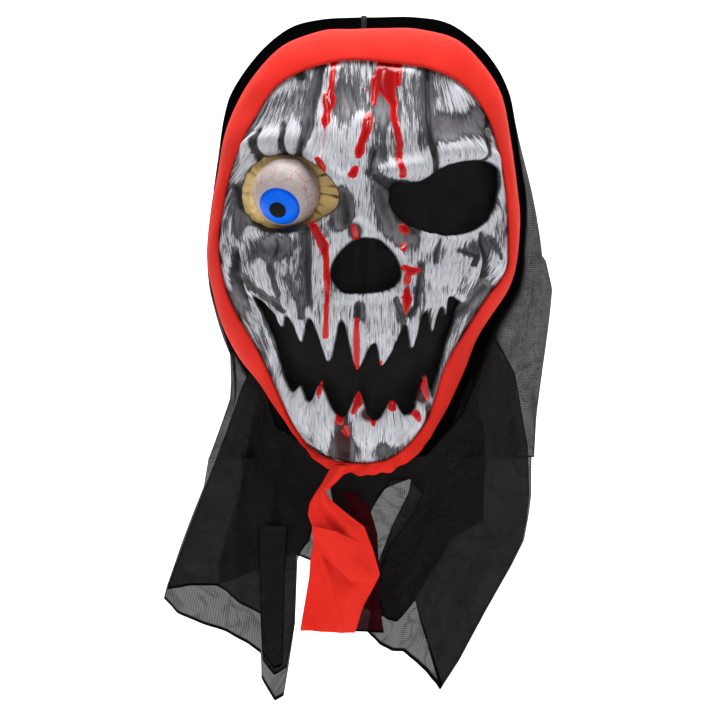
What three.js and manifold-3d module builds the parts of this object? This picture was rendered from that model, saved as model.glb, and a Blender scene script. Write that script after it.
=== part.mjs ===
// A moulded skull face mask with a bulging eye, a red fabric edging and a sheer black hood.
// Millimetres, +Z up. The face looks along -Y. The origin is the middle of the wearer's head at eye height.
import * as THREE from "three";
import Module from "manifold-3d";
import { mergeVertices } from "three/addons/utils/BufferGeometryUtils.js";

const wasm = await Module();
wasm.setup();

// The moulded face.
const FACE_WIDTH = 182;
const FACE_HEIGHT = 260;
const FACE_CENTRE_Z = -31.5;
const FACE_DEPTH = 112; // the foremost skin stands this far ahead of the head's middle
const RIM_DEPTH_TOP = 62;
const RIM_DEPTH_SIDE = 45;
const RIM_DEPTH_CHIN = 78;
const WALL = 2.5;
const SHELL_REACH = 0.97; // the moulding stops just short of the outline, under the edging
const GAP = 0.4; // between glued or sewn neighbours
const LAYER_GAP = 1.1; // between curved layers that lie on each other

// The eye.
const BALL_RADIUS = 20;
const BALL_WALL = 1.6;
const BALL_DEPTH = 93;
const EYE_FROM_SIDE = 45.4; // the ball's middle, in from the side of the face
const EYE_Z = 4.2;
const OPEN_EYE_SHIFT = 3; // the open eye stands this much further from the middle than the ball
const IRIS_RADIUS = 12.4;
const IRIS_WALL = 0.9;
const PUPIL_HOLE = 3;
const GAZE = new THREE.Vector3(-0.24, -0.866, -0.438).normalize();
const SOCKET_AXIS = new THREE.Vector3(-0.17, -0.985, 0).normalize();
const COLLAR_WALL = 2;
const COLLAR_OVERLAP = 5; // how far the collar's flange runs behind the face
const COLLAR_CLEARANCE = 3.4; // between the collar's middle and the edge of the socket that it comes through
const COLLAR_LIP_SIDE = THREE.MathUtils.degToRad(65); // from the socket's axis to the lip, at the sides
const COLLAR_LIP_LOW = THREE.MathUtils.degToRad(79); // and above and below

// The edging, strap and hood.
const BAND_THICKNESS = 1.5;
const BAND_GAP = 1.7;
const BAND_RETURN = 14; // how far the edging wraps back behind the outline
const BAND_OUT = WALL / 2 + BAND_GAP + BAND_THICKNESS / 2;
const CLOTH = 1.2;
const SCREEN_MARGIN = 6;
const SCREEN_GAP = 2;
const SCREEN_REACH = 0.92; // how far out the eye's screen may run, as a share of half the face's width
const MOUTH_SCREEN_TAPER = 0.5;
const MOUTH_SCREEN_DROP = 2; // the mouth's screen starts this far below the nose's
const STRAP_WIDTH = 12;
const STRAP_THICKNESS = 1.4;
const STRAP_HALF_WIDTH = 79;
const STRAP_BACK = 90;
const STRAP_GAP = 1.7; // between the strap's flat end and the curved wall behind it
const STRAP_ABOVE_COLLAR = 0.8;
const SOCKET_RISE = 1.2; // the socket's highest point above the ball's middle, in ball radii
const STRAP_Z = EYE_Z + SOCKET_RISE * BALL_RADIUS + COLLAR_OVERLAP + STRAP_ABOVE_COLLAR + STRAP_WIDTH / 2;
const RIVET_REACH = 0.86;
const RIVET_HOLE = 1.8;
const RIVET_SHANK = 1.5;
const RIVET_HEAD = 4;
const RIVET_CAP = 0.8;
const HOOD_GAP = 1.4; // between the edging's back edge and the hood's front edge
const HOOD_BACK = 104;
const CROWN_RISE = 24;
const SHOULDER_RISE = 0.55; // how much fuller the hood is to either side of the crown, as a share of its rise
const SEAM_TOP_Z = 75;
const SEAM_WIDTH = 3.2;
const SEAM_GAP = 0.9;
const HOOD_END_ANGLE = THREE.MathUtils.degToRad(-72);
const CHIN_Z = FACE_CENTRE_Z - FACE_HEIGHT / 2 - BAND_OUT;
const HEM_Z = CHIN_Z + 6;
const HINGE_GAP = 3;

// The loose cloth.
const FALL_Y = -62;
const TAIL_X = -12;
const TAIL_Y = -86;
const BACK_PANEL_Y = 93;
const FALL_TOP_Z = HEM_Z - HINGE_GAP - 3;
const GATHER_SIZE = [9, 5, 4];
const TAIL_TOP_Z = CHIN_Z - 2 * GATHER_SIZE[2] - HINGE_GAP;

const LEFT = -1;
const RIGHT = 1;
const { lerp, clamp, smoothstep } = THREE.MathUtils;

// Outlines of the face and of the edging's inner side, as shares of half the face's width and height.
const FACE_OUTLINE = [
  [0.05, 1.015], [0.35, 1.01], [0.625, 0.965], [0.885, 0.745], [0.965, 0.42], [1.0, 0.145], [0.935, -0.14],
  [0.74, -0.346], [0.57, -0.63], [0.305, -0.92], [0.05, -0.997], [-0.25, -0.957], [-0.47, -0.81],
  [-0.638, -0.645], [-0.87, -0.377], [-1.0, -0.07], [-1.0, 0.08], [-0.935, 0.364], [-0.83, 0.66],
  [-0.535, 0.93], [-0.285, 1.0],
];
const BAND_INNER_OUTLINE = [
  [0.17, 0.859], [0.44, 0.83], [0.63, 0.766], [0.785, 0.63], [0.91, 0.337], [0.935, 0.051], [0.93, -0.069],
  [0.795, -0.197], [0.66, -0.346], [0.52, -0.513], [0.38, -0.787], [0.17, -0.92], [-0.08, -0.948],
  [-0.27, -0.894], [-0.4, -0.8], [-0.67, -0.462], [-0.88, -0.19], [-0.945, 0.029], [-0.92, 0.18],
  [-0.845, 0.408], [-0.7, 0.61], [-0.545, 0.766], [-0.15, 0.87],
];

// Openings in the face. The eyes are about their own middles. The nose and the mouth are drawn on a face of
// this size, and onFace fits them to the real one.
const DRAWN_WIDTH = 182;
const DRAWN_HEIGHT = 260;
const SOCKET_OUTLINE = [
  [-1.45, 0.1], [-1.3, 0.62], [-0.55, 1.15], [0.1, SOCKET_RISE], [0.75, 0.98], [1.3, 0.55], [1.56, 0.12],
  [1.5, -0.5], [0.95, -0.92], [0.1, -1.2], [-0.7, -1.15], [-1.28, -0.6],
];
const EYE_OPENING = [
  [-31.5, 8], [-22.5, 9], [-14, 10.5], [-6, 16], [2, 20], [12.5, 23], [22.5, 23], [28.5, 17], [31.5, 8],
  [30.5, -2], [24.5, -12], [12.5, -20], [-3.5, -22], [-16.5, -18], [-25.5, -12], [-31.5, -4],
];
const NOSE_OPENING = onFace([
  [-5, -25], [8, -25], [13, -29], [19, -37], [21, -47], [16, -53], [0, -56], [-13, -55], [-19, -47],
  [-17, -37],
]);
const UPPER_TEETH = onFace([
  [-65, -58], [-60, -61], [-55, -67], [-47, -76], [-45, -69], [-36, -85], [-32, -71], [-20, -97], [-13, -72],
  [-4, -101], [6, -85], [10, -99], [18, -87], [24, -75], [27, -89], [36, -67], [39, -79], [45, -64],
  [47, -69], [50, -58], [57, -62],
]);
const LOWER_TEETH = onFace([
  [55, -68], [50, -83], [44, -103], [42, -109], [39, -118], [35, -104], [26, -127], [23, -128], [16, -119],
  [8, -131], [4, -131], [-3, -114], [-12, -130], [-16, -128], [-25, -109], [-31, -120], [-36, -110],
  [-41, -114], [-46, -105], [-50, -97], [-53, -85], [-59, -70],
]);

// The sculpt's broad swells and hollows: middle, spread and height.
const SWELLS = [
  { at: [-45, 40], spread: [38, 13], height: 5 },
  { at: [45, 40], spread: [38, 13], height: 5 },
  { at: [48, 0], spread: [34, 24], height: -7 },
  { at: [-46, 4], spread: [30, 24], height: -5 },
  { at: [0, 12], spread: [11, 26], height: 5 },
  { at: [-60, -45], spread: [22, 16], height: 4 },
  { at: [62, -45], spread: [22, 16], height: 4 },
  { at: [0, -72], spread: [46, 15], height: 5 },
  { at: [0, -138], spread: [34, 14], height: 5 },
];

// How far the hood stands out from the side of the face, by height: [height, distance].
const HOOD_EASE = {
  [LEFT]: [[113, 4], [41, 6], [-5, 7], [-53, 5], [-95, -6], [-121, -6], [-142, 0], [-160, 5]],
  [RIGHT]: [[113, 4], [41, 6], [-5, 12], [-53, 21], [-131, 12], [-160, 10]],
};
// How far back the hood reaches, by height.
const HOOD_BACK_LINE = [
  [SEAM_TOP_Z, HOOD_BACK - 16], [30, HOOD_BACK], [-20, HOOD_BACK], [-70, HOOD_BACK - 12],
  [-110, HOOD_BACK - 16], [HEM_Z, HOOD_BACK - 10],
];

// Cloth outlines, [x, drop below the hinge line].
const LEFT_FALL = [
  [-41, 0], [-92, 0], [-107, 40], [-118, 66], [-121, 76], [-116, 83], [-96, 92], [-80, 96], [-64, 106],
  [-62, 122], [-53, 138], [-47, 127], [-43, 98], [-41, 50],
];
const RIGHT_FALL = [
  [34, 0], [99, 0], [99, 33], [92, 49], [76, 78], [46, 130], [39, 123], [23, 105], [15, 100], [15, 52],
];
const BACK_PANEL = [
  [-66, 0], [66, 0], [72, 60], [46, 104], [2, 96], [-34, 58], [-62, 46],
];
const TAIL = [
  [-20, 0], [-31, 9], [-33, 15], [-29, 32], [-31, 48], [-37, 84], [-6, 84], [0, 71], [11, 50], [5, 32],
  [-6, 14], [-8, 0],
];
const TAIL_FOLD = [
  [-29, 30], [-4, 40], [-5, 62], [8, 68], [-8, 68], [-27, 54],
];
const TAIL_OVERLAY = [
  [-7, 6], [12, 52], [12, 85], [-6, 85], [0, 71], [-2, 30],
];

function onFace(outline) {
  const [wide, tall] = [FACE_WIDTH / DRAWN_WIDTH, FACE_HEIGHT / DRAWN_HEIGHT];
  return outline.map(([x, z]) => [x * wide, FACE_CENTRE_Z + (z - FACE_CENTRE_Z) * tall]);
}

function readLine(line, at) {
  const rising = [...line].sort((a, b) => a[0] - b[0]);
  const last = rising.length - 1;
  const next = clamp(rising.findIndex(([key]) => key > at), 1, last);
  const [[k0, v0], [k1, v1]] = at >= rising[last][0] ? rising.slice(-2) : rising.slice(next - 1, next + 1);
  return lerp(v0, v1, clamp((at - k0) / (k1 - k0), 0, 1));
}

// Turns an outline round the origin into its radius at any angle.
function polarOutline(points) {
  const curve = new THREE.CatmullRomCurve3(points.map(([u, v]) => new THREE.Vector3(u, v, 0)), true);
  const samples = curve.getPoints(240).map((p) => [Math.atan2(p.y, p.x), Math.hypot(p.x, p.y)]);
  samples.sort((a, b) => a[0] - b[0]);
  const turn = 2 * Math.PI;
  const before = samples.slice(-2).map(([angle, r]) => [angle - turn, r]);
  const after = samples.slice(0, 2).map(([angle, r]) => [angle + turn, r]);
  const table = [...before, ...samples, ...after];
  return (angle) => readSorted(table, Math.atan2(Math.sin(angle), Math.cos(angle)));
}

function readSorted(table, at) {
  const next = table.findIndex(([key]) => key > at);
  const [k0, v0] = table[next - 1];
  const [k1, v1] = table[next];
  return lerp(v0, v1, (at - k0) / (k1 - k0));
}

const faceRadius = polarOutline(FACE_OUTLINE);
const bandInnerRadius = polarOutline(BAND_INNER_OUTLINE);

function rimDepth(v) {
  const end = v > 0 ? RIM_DEPTH_TOP : RIM_DEPTH_CHIN;
  return lerp(RIM_DEPTH_SIDE, end, clamp(v * v, 0, 1));
}

function swell(x, z) {
  const one = ({ at, spread, height }) =>
    height * Math.exp(-(((x - at[0]) / spread[0]) ** 2) - ((z - at[1]) / spread[1]) ** 2);
  return SWELLS.reduce((sum, item) => sum + one(item), 0);
}

// The middle of the face's wall at an angle round the outline and a share of the way out to it.
function facePoint(angle, reach) {
  const out = faceRadius(angle) * reach;
  const x = (FACE_WIDTH / 2) * out * Math.cos(angle);
  const v = out * Math.sin(angle);
  const z = FACE_CENTRE_Z + (FACE_HEIGHT / 2) * v;
  const dome = (1 - Math.min(reach, 1) ** 2.2) ** 0.62;
  const relief = swell(x, z) * smoothstep(1 - reach, 0.02, 0.22);
  return new THREE.Vector3(x, -lerp(rimDepth(v), FACE_DEPTH, dome) - relief, z);
}

function skinAt(x, z) {
  const u = x / (FACE_WIDTH / 2);
  const v = (z - FACE_CENTRE_Z) / (FACE_HEIGHT / 2);
  const angle = Math.atan2(v, u);
  return facePoint(angle, Math.hypot(u, v) / faceRadius(angle));
}

// A point on the face, set back from the middle of its wall.
function behindSkin(x, z, distance) {
  const step = 0.5;
  const across = skinAt(x + step, z).sub(skinAt(x - step, z));
  const up = skinAt(x, z + step).sub(skinAt(x, z - step));
  const inward = up.cross(across).normalize();
  return skinAt(x, z).addScaledVector(inward, distance);
}

function gridNormal(points, i, j, columns, rows, closed) {
  const wrap = (k) => (closed ? (k + columns) % columns : clamp(k, 0, columns));
  const along = points[wrap(i + 1)][j].clone().sub(points[wrap(i - 1)][j]);
  const down = points[i][Math.min(j + 1, rows)].clone().sub(points[i][Math.max(j - 1, 0)]);
  return along.cross(down).normalize();
}

// A closed body between two offsets from a surface. point(s, t) gives the surface for s and t from 0 to 1.
function sheet(point, columns, rows, near, far, closed = false) {
  const lines = closed ? columns : columns + 1;
  const points = Array.from({ length: lines }, (_, i) =>
    Array.from({ length: rows + 1 }, (_, j) => point(i / columns, j / rows)));
  const positions = [];
  for (const offset of [near, far]) {
    for (let i = 0; i < lines; i++) {
      for (let j = 0; j <= rows; j++) {
        const normal = gridNormal(points, i, j, columns, rows, closed);
        positions.push(...points[i][j].clone().addScaledVector(normal, offset).toArray());
      }
    }
  }
  const layer = lines * (rows + 1);
  const id = (i, j, side) => side * layer + (i % lines) * (rows + 1) + j;
  const index = [];
  const quad = (a, b, c, d) => index.push(a, b, c, a, c, d);
  for (let i = 0; i < columns; i++) {
    for (let j = 0; j < rows; j++) {
      quad(id(i, j, 0), id(i + 1, j, 0), id(i + 1, j + 1, 0), id(i, j + 1, 0));
      quad(id(i, j, 1), id(i, j + 1, 1), id(i + 1, j + 1, 1), id(i + 1, j, 1));
    }
    quad(id(i, 0, 0), id(i, 0, 1), id(i + 1, 0, 1), id(i + 1, 0, 0));
    quad(id(i, rows, 0), id(i + 1, rows, 0), id(i + 1, rows, 1), id(i, rows, 1));
  }
  for (let j = 0; j < rows && !closed; j++) {
    quad(id(0, j, 0), id(0, j + 1, 0), id(0, j + 1, 1), id(0, j, 1));
    quad(id(columns, j, 0), id(columns, j, 1), id(columns, j + 1, 1), id(columns, j + 1, 0));
  }
  const geometry = new THREE.BufferGeometry();
  geometry.setAttribute("position", new THREE.Float32BufferAttribute(positions, 3));
  geometry.setIndex(index);
  return facingOut(geometry);
}

function signedVolume(geometry) {
  const position = geometry.getAttribute("position");
  const index = geometry.getIndex().array;
  const corner = (k) => new THREE.Vector3().fromBufferAttribute(position, index[k]);
  let volume = 0;
  for (let k = 0; k < index.length; k += 3) {
    volume += corner(k).dot(corner(k + 1).cross(corner(k + 2))) / 6;
  }
  return volume;
}

function facingOut(geometry) {
  if (signedVolume(geometry) < 0) {
    geometry.setIndex([...geometry.getIndex().array].reverse());
  }
  return geometry;
}

// A flat outline in the XZ plane, given a thickness between two depths.
function plate(outline, yFront, yBack) {
  const shape = new THREE.Shape(outline.map(([x, z]) => new THREE.Vector2(x, z)));
  const geometry = new THREE.ExtrudeGeometry(shape, { depth: yBack - yFront, bevelEnabled: false });
  return geometry.rotateX(Math.PI / 2).translate(0, yBack, 0);
}

function smoothOutline(points, count) {
  const curve = new THREE.CatmullRomCurve3(points.map(([x, z]) => new THREE.Vector3(x, z, 0)), true);
  return curve.getPoints(count).slice(0, -1).map((p) => [p.x, p.y]);
}

function solid(geometry) {
  const bare = geometry.clone();
  bare.deleteAttribute("normal");
  bare.deleteAttribute("uv");
  const merged = mergeVertices(bare, 1e-4);
  return new wasm.Manifold(new wasm.Mesh({
    numProp: 3,
    vertProperties: new Float32Array(merged.getAttribute("position").array),
    triVerts: new Uint32Array(merged.getIndex().array),
  }));
}

function geometryOf(body) {
  const mesh = body.getMesh();
  const geometry = new THREE.BufferGeometry();
  geometry.setAttribute("position", new THREE.BufferAttribute(mesh.vertProperties, 3));
  geometry.setIndex(new THREE.BufferAttribute(mesh.triVerts, 1));
  return geometry;
}

function cut(geometry, ...cutters) {
  return geometryOf(cutters.reduce((body, cutter) => body.subtract(solid(cutter)), solid(geometry)));
}

// Turns a shape made along +Y to point along a direction, and moves it to a place.
function aim(geometry, direction, place) {
  const turn = new THREE.Quaternion().setFromUnitVectors(new THREE.Vector3(0, 1, 0), direction);
  return geometry.applyQuaternion(turn).translate(...place.toArray());
}

const EYE_X = FACE_WIDTH / 2 - EYE_FROM_SIDE;
const ballMiddle = new THREE.Vector3(-EYE_X, -BALL_DEPTH, EYE_Z);
const OPEN_EYE_X = EYE_X + OPEN_EYE_SHIFT;

function socketOutline(count, grow) {
  const middle = [ballMiddle.x, ballMiddle.z];
  return smoothOutline(SOCKET_OUTLINE, count).map(([u, v]) => {
    const length = Math.hypot(u, v);
    const scale = BALL_RADIUS + grow / length;
    return [middle[0] + u * scale, middle[1] + v * scale];
  });
}

function throughCutter(outline) {
  return plate(outline, -FACE_DEPTH - 40, 0);
}

// Where the strap is riveted to the face, and which way is outwards there.
function rivetSpot(side) {
  const heightShare = (STRAP_Z - FACE_CENTRE_Z) / (FACE_HEIGHT / 2);
  let above = Math.asin(heightShare);
  for (let pass = 0; pass < 4; pass++) {
    above = Math.asin(heightShare / (RIVET_REACH * faceRadius(side > 0 ? above : Math.PI - above)));
  }
  const spot = facePoint(side > 0 ? above : Math.PI - above, RIVET_REACH);
  const inside = behindSkin(spot.x, spot.z, 1);
  return { spot, outward: spot.clone().sub(inside).normalize() };
}

function rivetHole(side) {
  const { spot, outward } = rivetSpot(side);
  const length = 6 * (WALL + STRAP_THICKNESS);
  return aim(new THREE.CylinderGeometry(RIVET_HOLE, RIVET_HOLE, length, 12), outward, spot);
}

function faceShell() {
  const point = (s, t) => {
    const [a, b] = [2 * s - 1, 2 * t - 1];
    const [x, y] = [a * Math.sqrt(1 - (b * b) / 2), b * Math.sqrt(1 - (a * a) / 2)];
    return facePoint(Math.atan2(y, x), Math.hypot(x, y) * SHELL_REACH);
  };
  const openEye = smoothOutline(EYE_OPENING, 24).map(([x, z]) => [x + OPEN_EYE_X, z]);
  return cut(
    sheet(point, 20, 26, -WALL / 2, WALL / 2),
    throughCutter(openEye),
    throughCutter(socketOutline(24, 0)),
    throughCutter(smoothOutline(NOSE_OPENING, 16)),
    throughCutter([...UPPER_TEETH, ...LOWER_TEETH]),
    rivetHole(LEFT),
    rivetHole(RIGHT),
  );
}

// A net glued behind an opening, covering a box of the face from low to high. Layer 1 lies behind layer 0.
// Taper is the share of its width that it loses at its lower edge.
function screen(low, high, columns, rows, layer, taper = 0) {
  const middle = (low[0] + high[0]) / 2;
  const half = (high[0] - low[0]) / 2;
  const point = (s, t) => {
    const width = half * (1 - taper * (1 - t) ** 2);
    return skinAt(middle + lerp(-width, width, s), lerp(low[1], high[1], t));
  };
  const near = WALL / 2 + SCREEN_GAP + layer * (CLOTH + SCREEN_GAP);
  return backOf(point, columns, rows, near, near + CLOTH);
}

// A sheet on the wearer's side of a surface, whichever way the grid's normals run.
function backOf(point, columns, rows, near, far) {
  const middle = gridSample(point);
  const sign = middle.y > 0 ? 1 : -1;
  return sheet(point, columns, rows, sign * near, sign * far);
}

function gridSample(point) {
  const step = 0.02;
  const along = point(0.5 + step, 0.5).sub(point(0.5 - step, 0.5));
  const down = point(0.5, 0.5 + step).sub(point(0.5, 0.5 - step));
  return along.cross(down);
}

function boundsOf(outline, margin) {
  const [xs, zs] = [outline.map(([x]) => x), outline.map(([, z]) => z)];
  return [
    [Math.min(...xs) - margin, Math.min(...zs) - margin],
    [Math.max(...xs) + margin, Math.max(...zs) + margin],
  ];
}

function eyeScreen() {
  const outline = EYE_OPENING.map(([x, z]) => [x + OPEN_EYE_X, z]);
  const [low, high] = boundsOf(outline, SCREEN_MARGIN);
  const furthest = (FACE_WIDTH / 2) * SCREEN_REACH;
  return screen(low, [Math.min(high[0], furthest), high[1]], 8, 6, 0);
}

function noseScreen() {
  const [low, high] = boundsOf(NOSE_OPENING, SCREEN_MARGIN / 2);
  return screen(low, high, 6, 5, 1);
}

function mouthScreen() {
  const [low, high] = boundsOf([...UPPER_TEETH, ...LOWER_TEETH], SCREEN_MARGIN / 2);
  const noseLow = boundsOf(NOSE_OPENING, SCREEN_MARGIN / 2)[0][1];
  return screen(low, [high[0], Math.min(high[1], noseLow - MOUTH_SCREEN_DROP)], 10, 6, 0, MOUTH_SCREEN_TAPER);
}

// A spherical wall round the +Y axis between two angles from it.
function dome(inner, outer, from, to, steps, around) {
  const arc = (radius, a, b) => Array.from({ length: steps + 1 }, (_, k) => {
    const angle = lerp(a, b, k / steps);
    return new THREE.Vector2(radius * Math.sin(angle), radius * Math.cos(angle));
  });
  const profile = [...arc(inner, from, to), ...arc(outer, to, from)];
  const geometry = new THREE.LatheGeometry([...profile, profile[0]], around);
  geometry.deleteAttribute("normal");
  geometry.deleteAttribute("uv");
  return facingOut(mergeVertices(geometry, 1e-4));
}

function eyeball() {
  const hole = Math.asin(PUPIL_HOLE / BALL_RADIUS);
  const back = THREE.MathUtils.degToRad(112);
  return aim(dome(BALL_RADIUS - BALL_WALL, BALL_RADIUS, hole, back, 7, 20), GAZE, ballMiddle);
}

function iris() {
  const under = BALL_RADIUS + GAP;
  const hole = Math.asin(PUPIL_HOLE / BALL_RADIUS);
  const edge = Math.asin(IRIS_RADIUS / BALL_RADIUS);
  return aim(dome(under, under + IRIS_WALL, hole, edge, 3, 20), GAZE, ballMiddle);
}

// The fleshy ring round the ball, from a lip on the ball to a flange behind the face.
function eyeCollar() {
  const around = 24;
  const throat = socketOutline(around, -COLLAR_CLEARANCE);
  const flange = socketOutline(around, COLLAR_OVERLAP);
  const lipReach = BALL_RADIUS + GAP + COLLAR_WALL * 0.6;
  const turn = new THREE.Quaternion().setFromUnitVectors(new THREE.Vector3(0, -1, 0), SOCKET_AXIS);
  const setBack = WALL / 2 + LAYER_GAP + COLLAR_WALL / 2;
  const lip = (angle) => {
    const open = lerp(COLLAR_LIP_SIDE, COLLAR_LIP_LOW, Math.sin(angle) ** 2);
    const ring = new THREE.Vector3(Math.cos(angle), 0, Math.sin(angle)).multiplyScalar(Math.sin(open));
    return ring.setY(-Math.cos(open)).multiplyScalar(lipReach).applyQuaternion(turn).add(ballMiddle);
  };
  const point = (s, t) => {
    const k = Math.round(s * around) % around;
    const angle = Math.atan2(throat[k][1] - ballMiddle.z, throat[k][0] - ballMiddle.x);
    const edge = behindSkin(...throat[k], setBack);
    const outer = behindSkin(...flange[k], setBack);
    const side = lip(angle).lerp(edge, t / 0.7).sub(ballMiddle);
    const clear = Math.max(side.length(), lipReach + GAP);
    return t < 0.7 ? side.setLength(clear).add(ballMiddle) : edge.lerp(outer, (t - 0.7) / 0.3);
  };
  return sheet(point, around, 5, -COLLAR_WALL / 2, COLLAR_WALL / 2, true);
}

// The edging's middle line: over the face from its inner side to the outline, then back.
function bandPoint(angle, t) {
  const over = 0.75;
  const inner = bandInnerRadius(angle) / faceRadius(angle);
  const reach = lerp(inner, 1, Math.min(t / over, 1));
  const point = facePoint(angle, reach);
  return point.setY(point.y + BAND_RETURN * Math.max(0, (t - over) / (1 - over)));
}

function redBand() {
  const point = (s, t) => bandPoint(2 * Math.PI * s, t);
  const sign = gridSample(point).dot(point(0.5, 0.5)) > 0 ? 1 : -1;
  const near = WALL / 2 + BAND_GAP;
  return sheet(point, 52, 6, sign * near, sign * (near + BAND_THICKNESS), true);
}

function rimBehindBand(angle) {
  const rim = facePoint(angle, 1);
  const out = 1 + BAND_OUT / Math.hypot(rim.x, rim.z - FACE_CENTRE_Z);
  return new THREE.Vector3(rim.x * out, rim.y + BAND_RETURN + HOOD_GAP, lerp(FACE_CENTRE_Z, rim.z, out));
}

// The hood, from its front edge (s = 0) to the back seam (s = 1) and from the crown (t = 0) to the hem (t = 1).
function hoodPoint(side, s, t) {
  const below = lerp(Math.PI / 2, HOOD_END_ANGLE, t);
  const rim = rimBehindBand(side > 0 ? below : Math.PI - below);
  const width = FACE_WIDTH / 2 + readLine(HOOD_EASE[side], rim.z);
  const wide = below > 0
    ? (width - FACE_WIDTH / 2 - BAND_OUT) * Math.cos(below)
    : Math.max(0, width - Math.abs(rim.x));
  const turn = (s * Math.PI) / 2;
  const lead = Math.sin(Math.min(1, s / 0.28) * (Math.PI / 2));
  const x = (Math.abs(rim.x) + wide * lead) * Math.cos(turn) ** 0.5;
  const seamZ = lerp(SEAM_TOP_Z, HEM_Z, t ** 1.35);
  const y = lerp(rim.y, readLine(HOOD_BACK_LINE, seamZ), Math.sin(turn) ** lerp(1, 1.45, t));
  const fullness = below > 0 ? Math.sin(below) + SHOULDER_RISE * Math.sin(2 * below) ** 2 : 0;
  const z = lerp(rim.z, seamZ, s * s * (3 - 2 * s)) + CROWN_RISE * fullness * Math.sin(Math.PI * s);
  return new THREE.Vector3(side * Math.max(x, SEAM_WIDTH / 2 + SEAM_GAP), y, z);
}

function hoodPanel(side) {
  return sheet((s, t) => hoodPoint(side, s, t), 11, 11, -CLOTH / 2, CLOTH / 2);
}

// The tape that joins the two hood panels, over the crown and down the back.
function hoodSeam() {
  const path = (t) => {
    const along = t < 0.45 ? hoodPoint(RIGHT, t / 0.45, 0) : hoodPoint(RIGHT, 1, (t - 0.45) / 0.55);
    return along.setX(0);
  };
  const point = (s, t) => path(t).setX(lerp(-SEAM_WIDTH / 2, SEAM_WIDTH / 2, s));
  return sheet(point, 1, 22, -CLOTH, CLOTH);
}

// The strap lies behind the face's wall at its ends and runs round the back of the head.
function strapLine(s) {
  const side = s < 0.5 ? LEFT : RIGHT;
  const { spot, outward } = rivetSpot(side);
  const depth = WALL / 2 + STRAP_GAP + STRAP_THICKNESS / 2;
  const start = spot.clone().addScaledVector(outward, -depth);
  const away = Math.abs(2 * s - 1);
  const turn = (Math.PI / 2) * (1 - away);
  const lead = Math.sin(Math.min(1, (1 - away) / 0.4) * (Math.PI / 2));
  const x = lerp(Math.abs(start.x), STRAP_HALF_WIDTH, lead) * Math.cos(turn) ** 0.6;
  const y = lerp(start.y, STRAP_BACK, Math.sin(turn));
  return new THREE.Vector3(side * x, y, STRAP_Z);
}

function strap() {
  const columns = 28;
  const tab = 2 / columns;
  const width = (t) => lerp(-STRAP_WIDTH / 2, STRAP_WIDTH / 2, t);
  const onFace = (side, reachShare, t) => {
    const { spot, outward } = rivetSpot(side);
    const depth = WALL / 2 + STRAP_GAP + STRAP_THICKNESS / 2;
    const along = new THREE.Vector3(0, 0, 1).cross(outward).normalize();
    const back = along.y > 0 ? along : along.negate();
    const up = outward.clone().cross(back).normalize();
    const rise = up.z > 0 ? up : up.negate();
    return spot.clone().addScaledVector(outward, -depth)
      .addScaledVector(back, lerp(-RIVET_HEAD - 2, RIVET_HEAD + 2, reachShare))
      .addScaledVector(rise, width(t));
  };
  const point = (s, t) => {
    if (s < tab + 1e-6) return onFace(LEFT, s / tab, t);
    if (s > 1 - tab - 1e-6) return onFace(RIGHT, (1 - s) / tab, t);
    const share = lerp(0.06, 0.94, (s - tab) / (1 - 2 * tab));
    return strapLine(share).add(new THREE.Vector3(0, 0, width(t)));
  };
  const band = sheet(point, columns, 2, -STRAP_THICKNESS / 2, STRAP_THICKNESS / 2);
  return cut(band, rivetHole(LEFT), rivetHole(RIGHT));
}

function rivet(side) {
  const { spot, outward } = rivetSpot(side);
  const front = WALL / 2 + GAP;
  const back = WALL / 2 + STRAP_GAP + STRAP_THICKNESS + GAP;
  const profile = [
    [0, front + RIVET_CAP], [RIVET_HEAD * 0.8, front + RIVET_CAP], [RIVET_HEAD * 0.8, front],
    [RIVET_SHANK, front], [RIVET_SHANK, -back], [RIVET_HEAD, -back], [RIVET_HEAD * 0.8, -back - 1.2],
    [0, -back - 1.6],
  ].reverse();
  const geometry = new THREE.LatheGeometry(profile.map(([r, y]) => new THREE.Vector2(r, y)), 16);
  return aim(facingOut(solidIndex(geometry)), outward, spot);
}

function solidIndex(geometry) {
  geometry.deleteAttribute("normal");
  geometry.deleteAttribute("uv");
  return geometryOf(solid(geometry));
}

function gather() {
  const geometry = new THREE.SphereGeometry(1, 12, 8).scale(...GATHER_SIZE);
  return geometry.translate(TAIL_X, TAIL_Y, CHIN_Z - GATHER_SIZE[2] - GAP);
}

function hangingCloth(outline, topZ, y, thickness) {
  return plate(outline.map(([x, drop]) => [x, topZ - drop]), y - thickness / 2, y + thickness / 2);
}

const COLOURS = {
  latex: { color: 0x6d6c71, roughness: 0.55, metalness: 0 },
  sclera: { color: 0xb5adb0, roughness: 0.25, metalness: 0 },
  iris: { color: 0x1254c0, roughness: 0.2, metalness: 0 },
  flesh: { color: 0xbc9664, roughness: 0.45, metalness: 0 },
  redCotton: { color: 0xd93025, roughness: 0.85, metalness: 0 },
  voile: { color: 0x151515, roughness: 0.9, metalness: 0 },
  elastic: { color: 0x1c1c1c, roughness: 0.8, metalness: 0 },
  steel: { color: 0x9a9a9c, roughness: 0.35, metalness: 1 },
};

const mask = new THREE.Group();

function add(name, geometry, look) {
  const piece = new THREE.Mesh(geometry, new THREE.MeshStandardMaterial(COLOURS[look]));
  piece.name = name;
  mask.add(piece);
}

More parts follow.
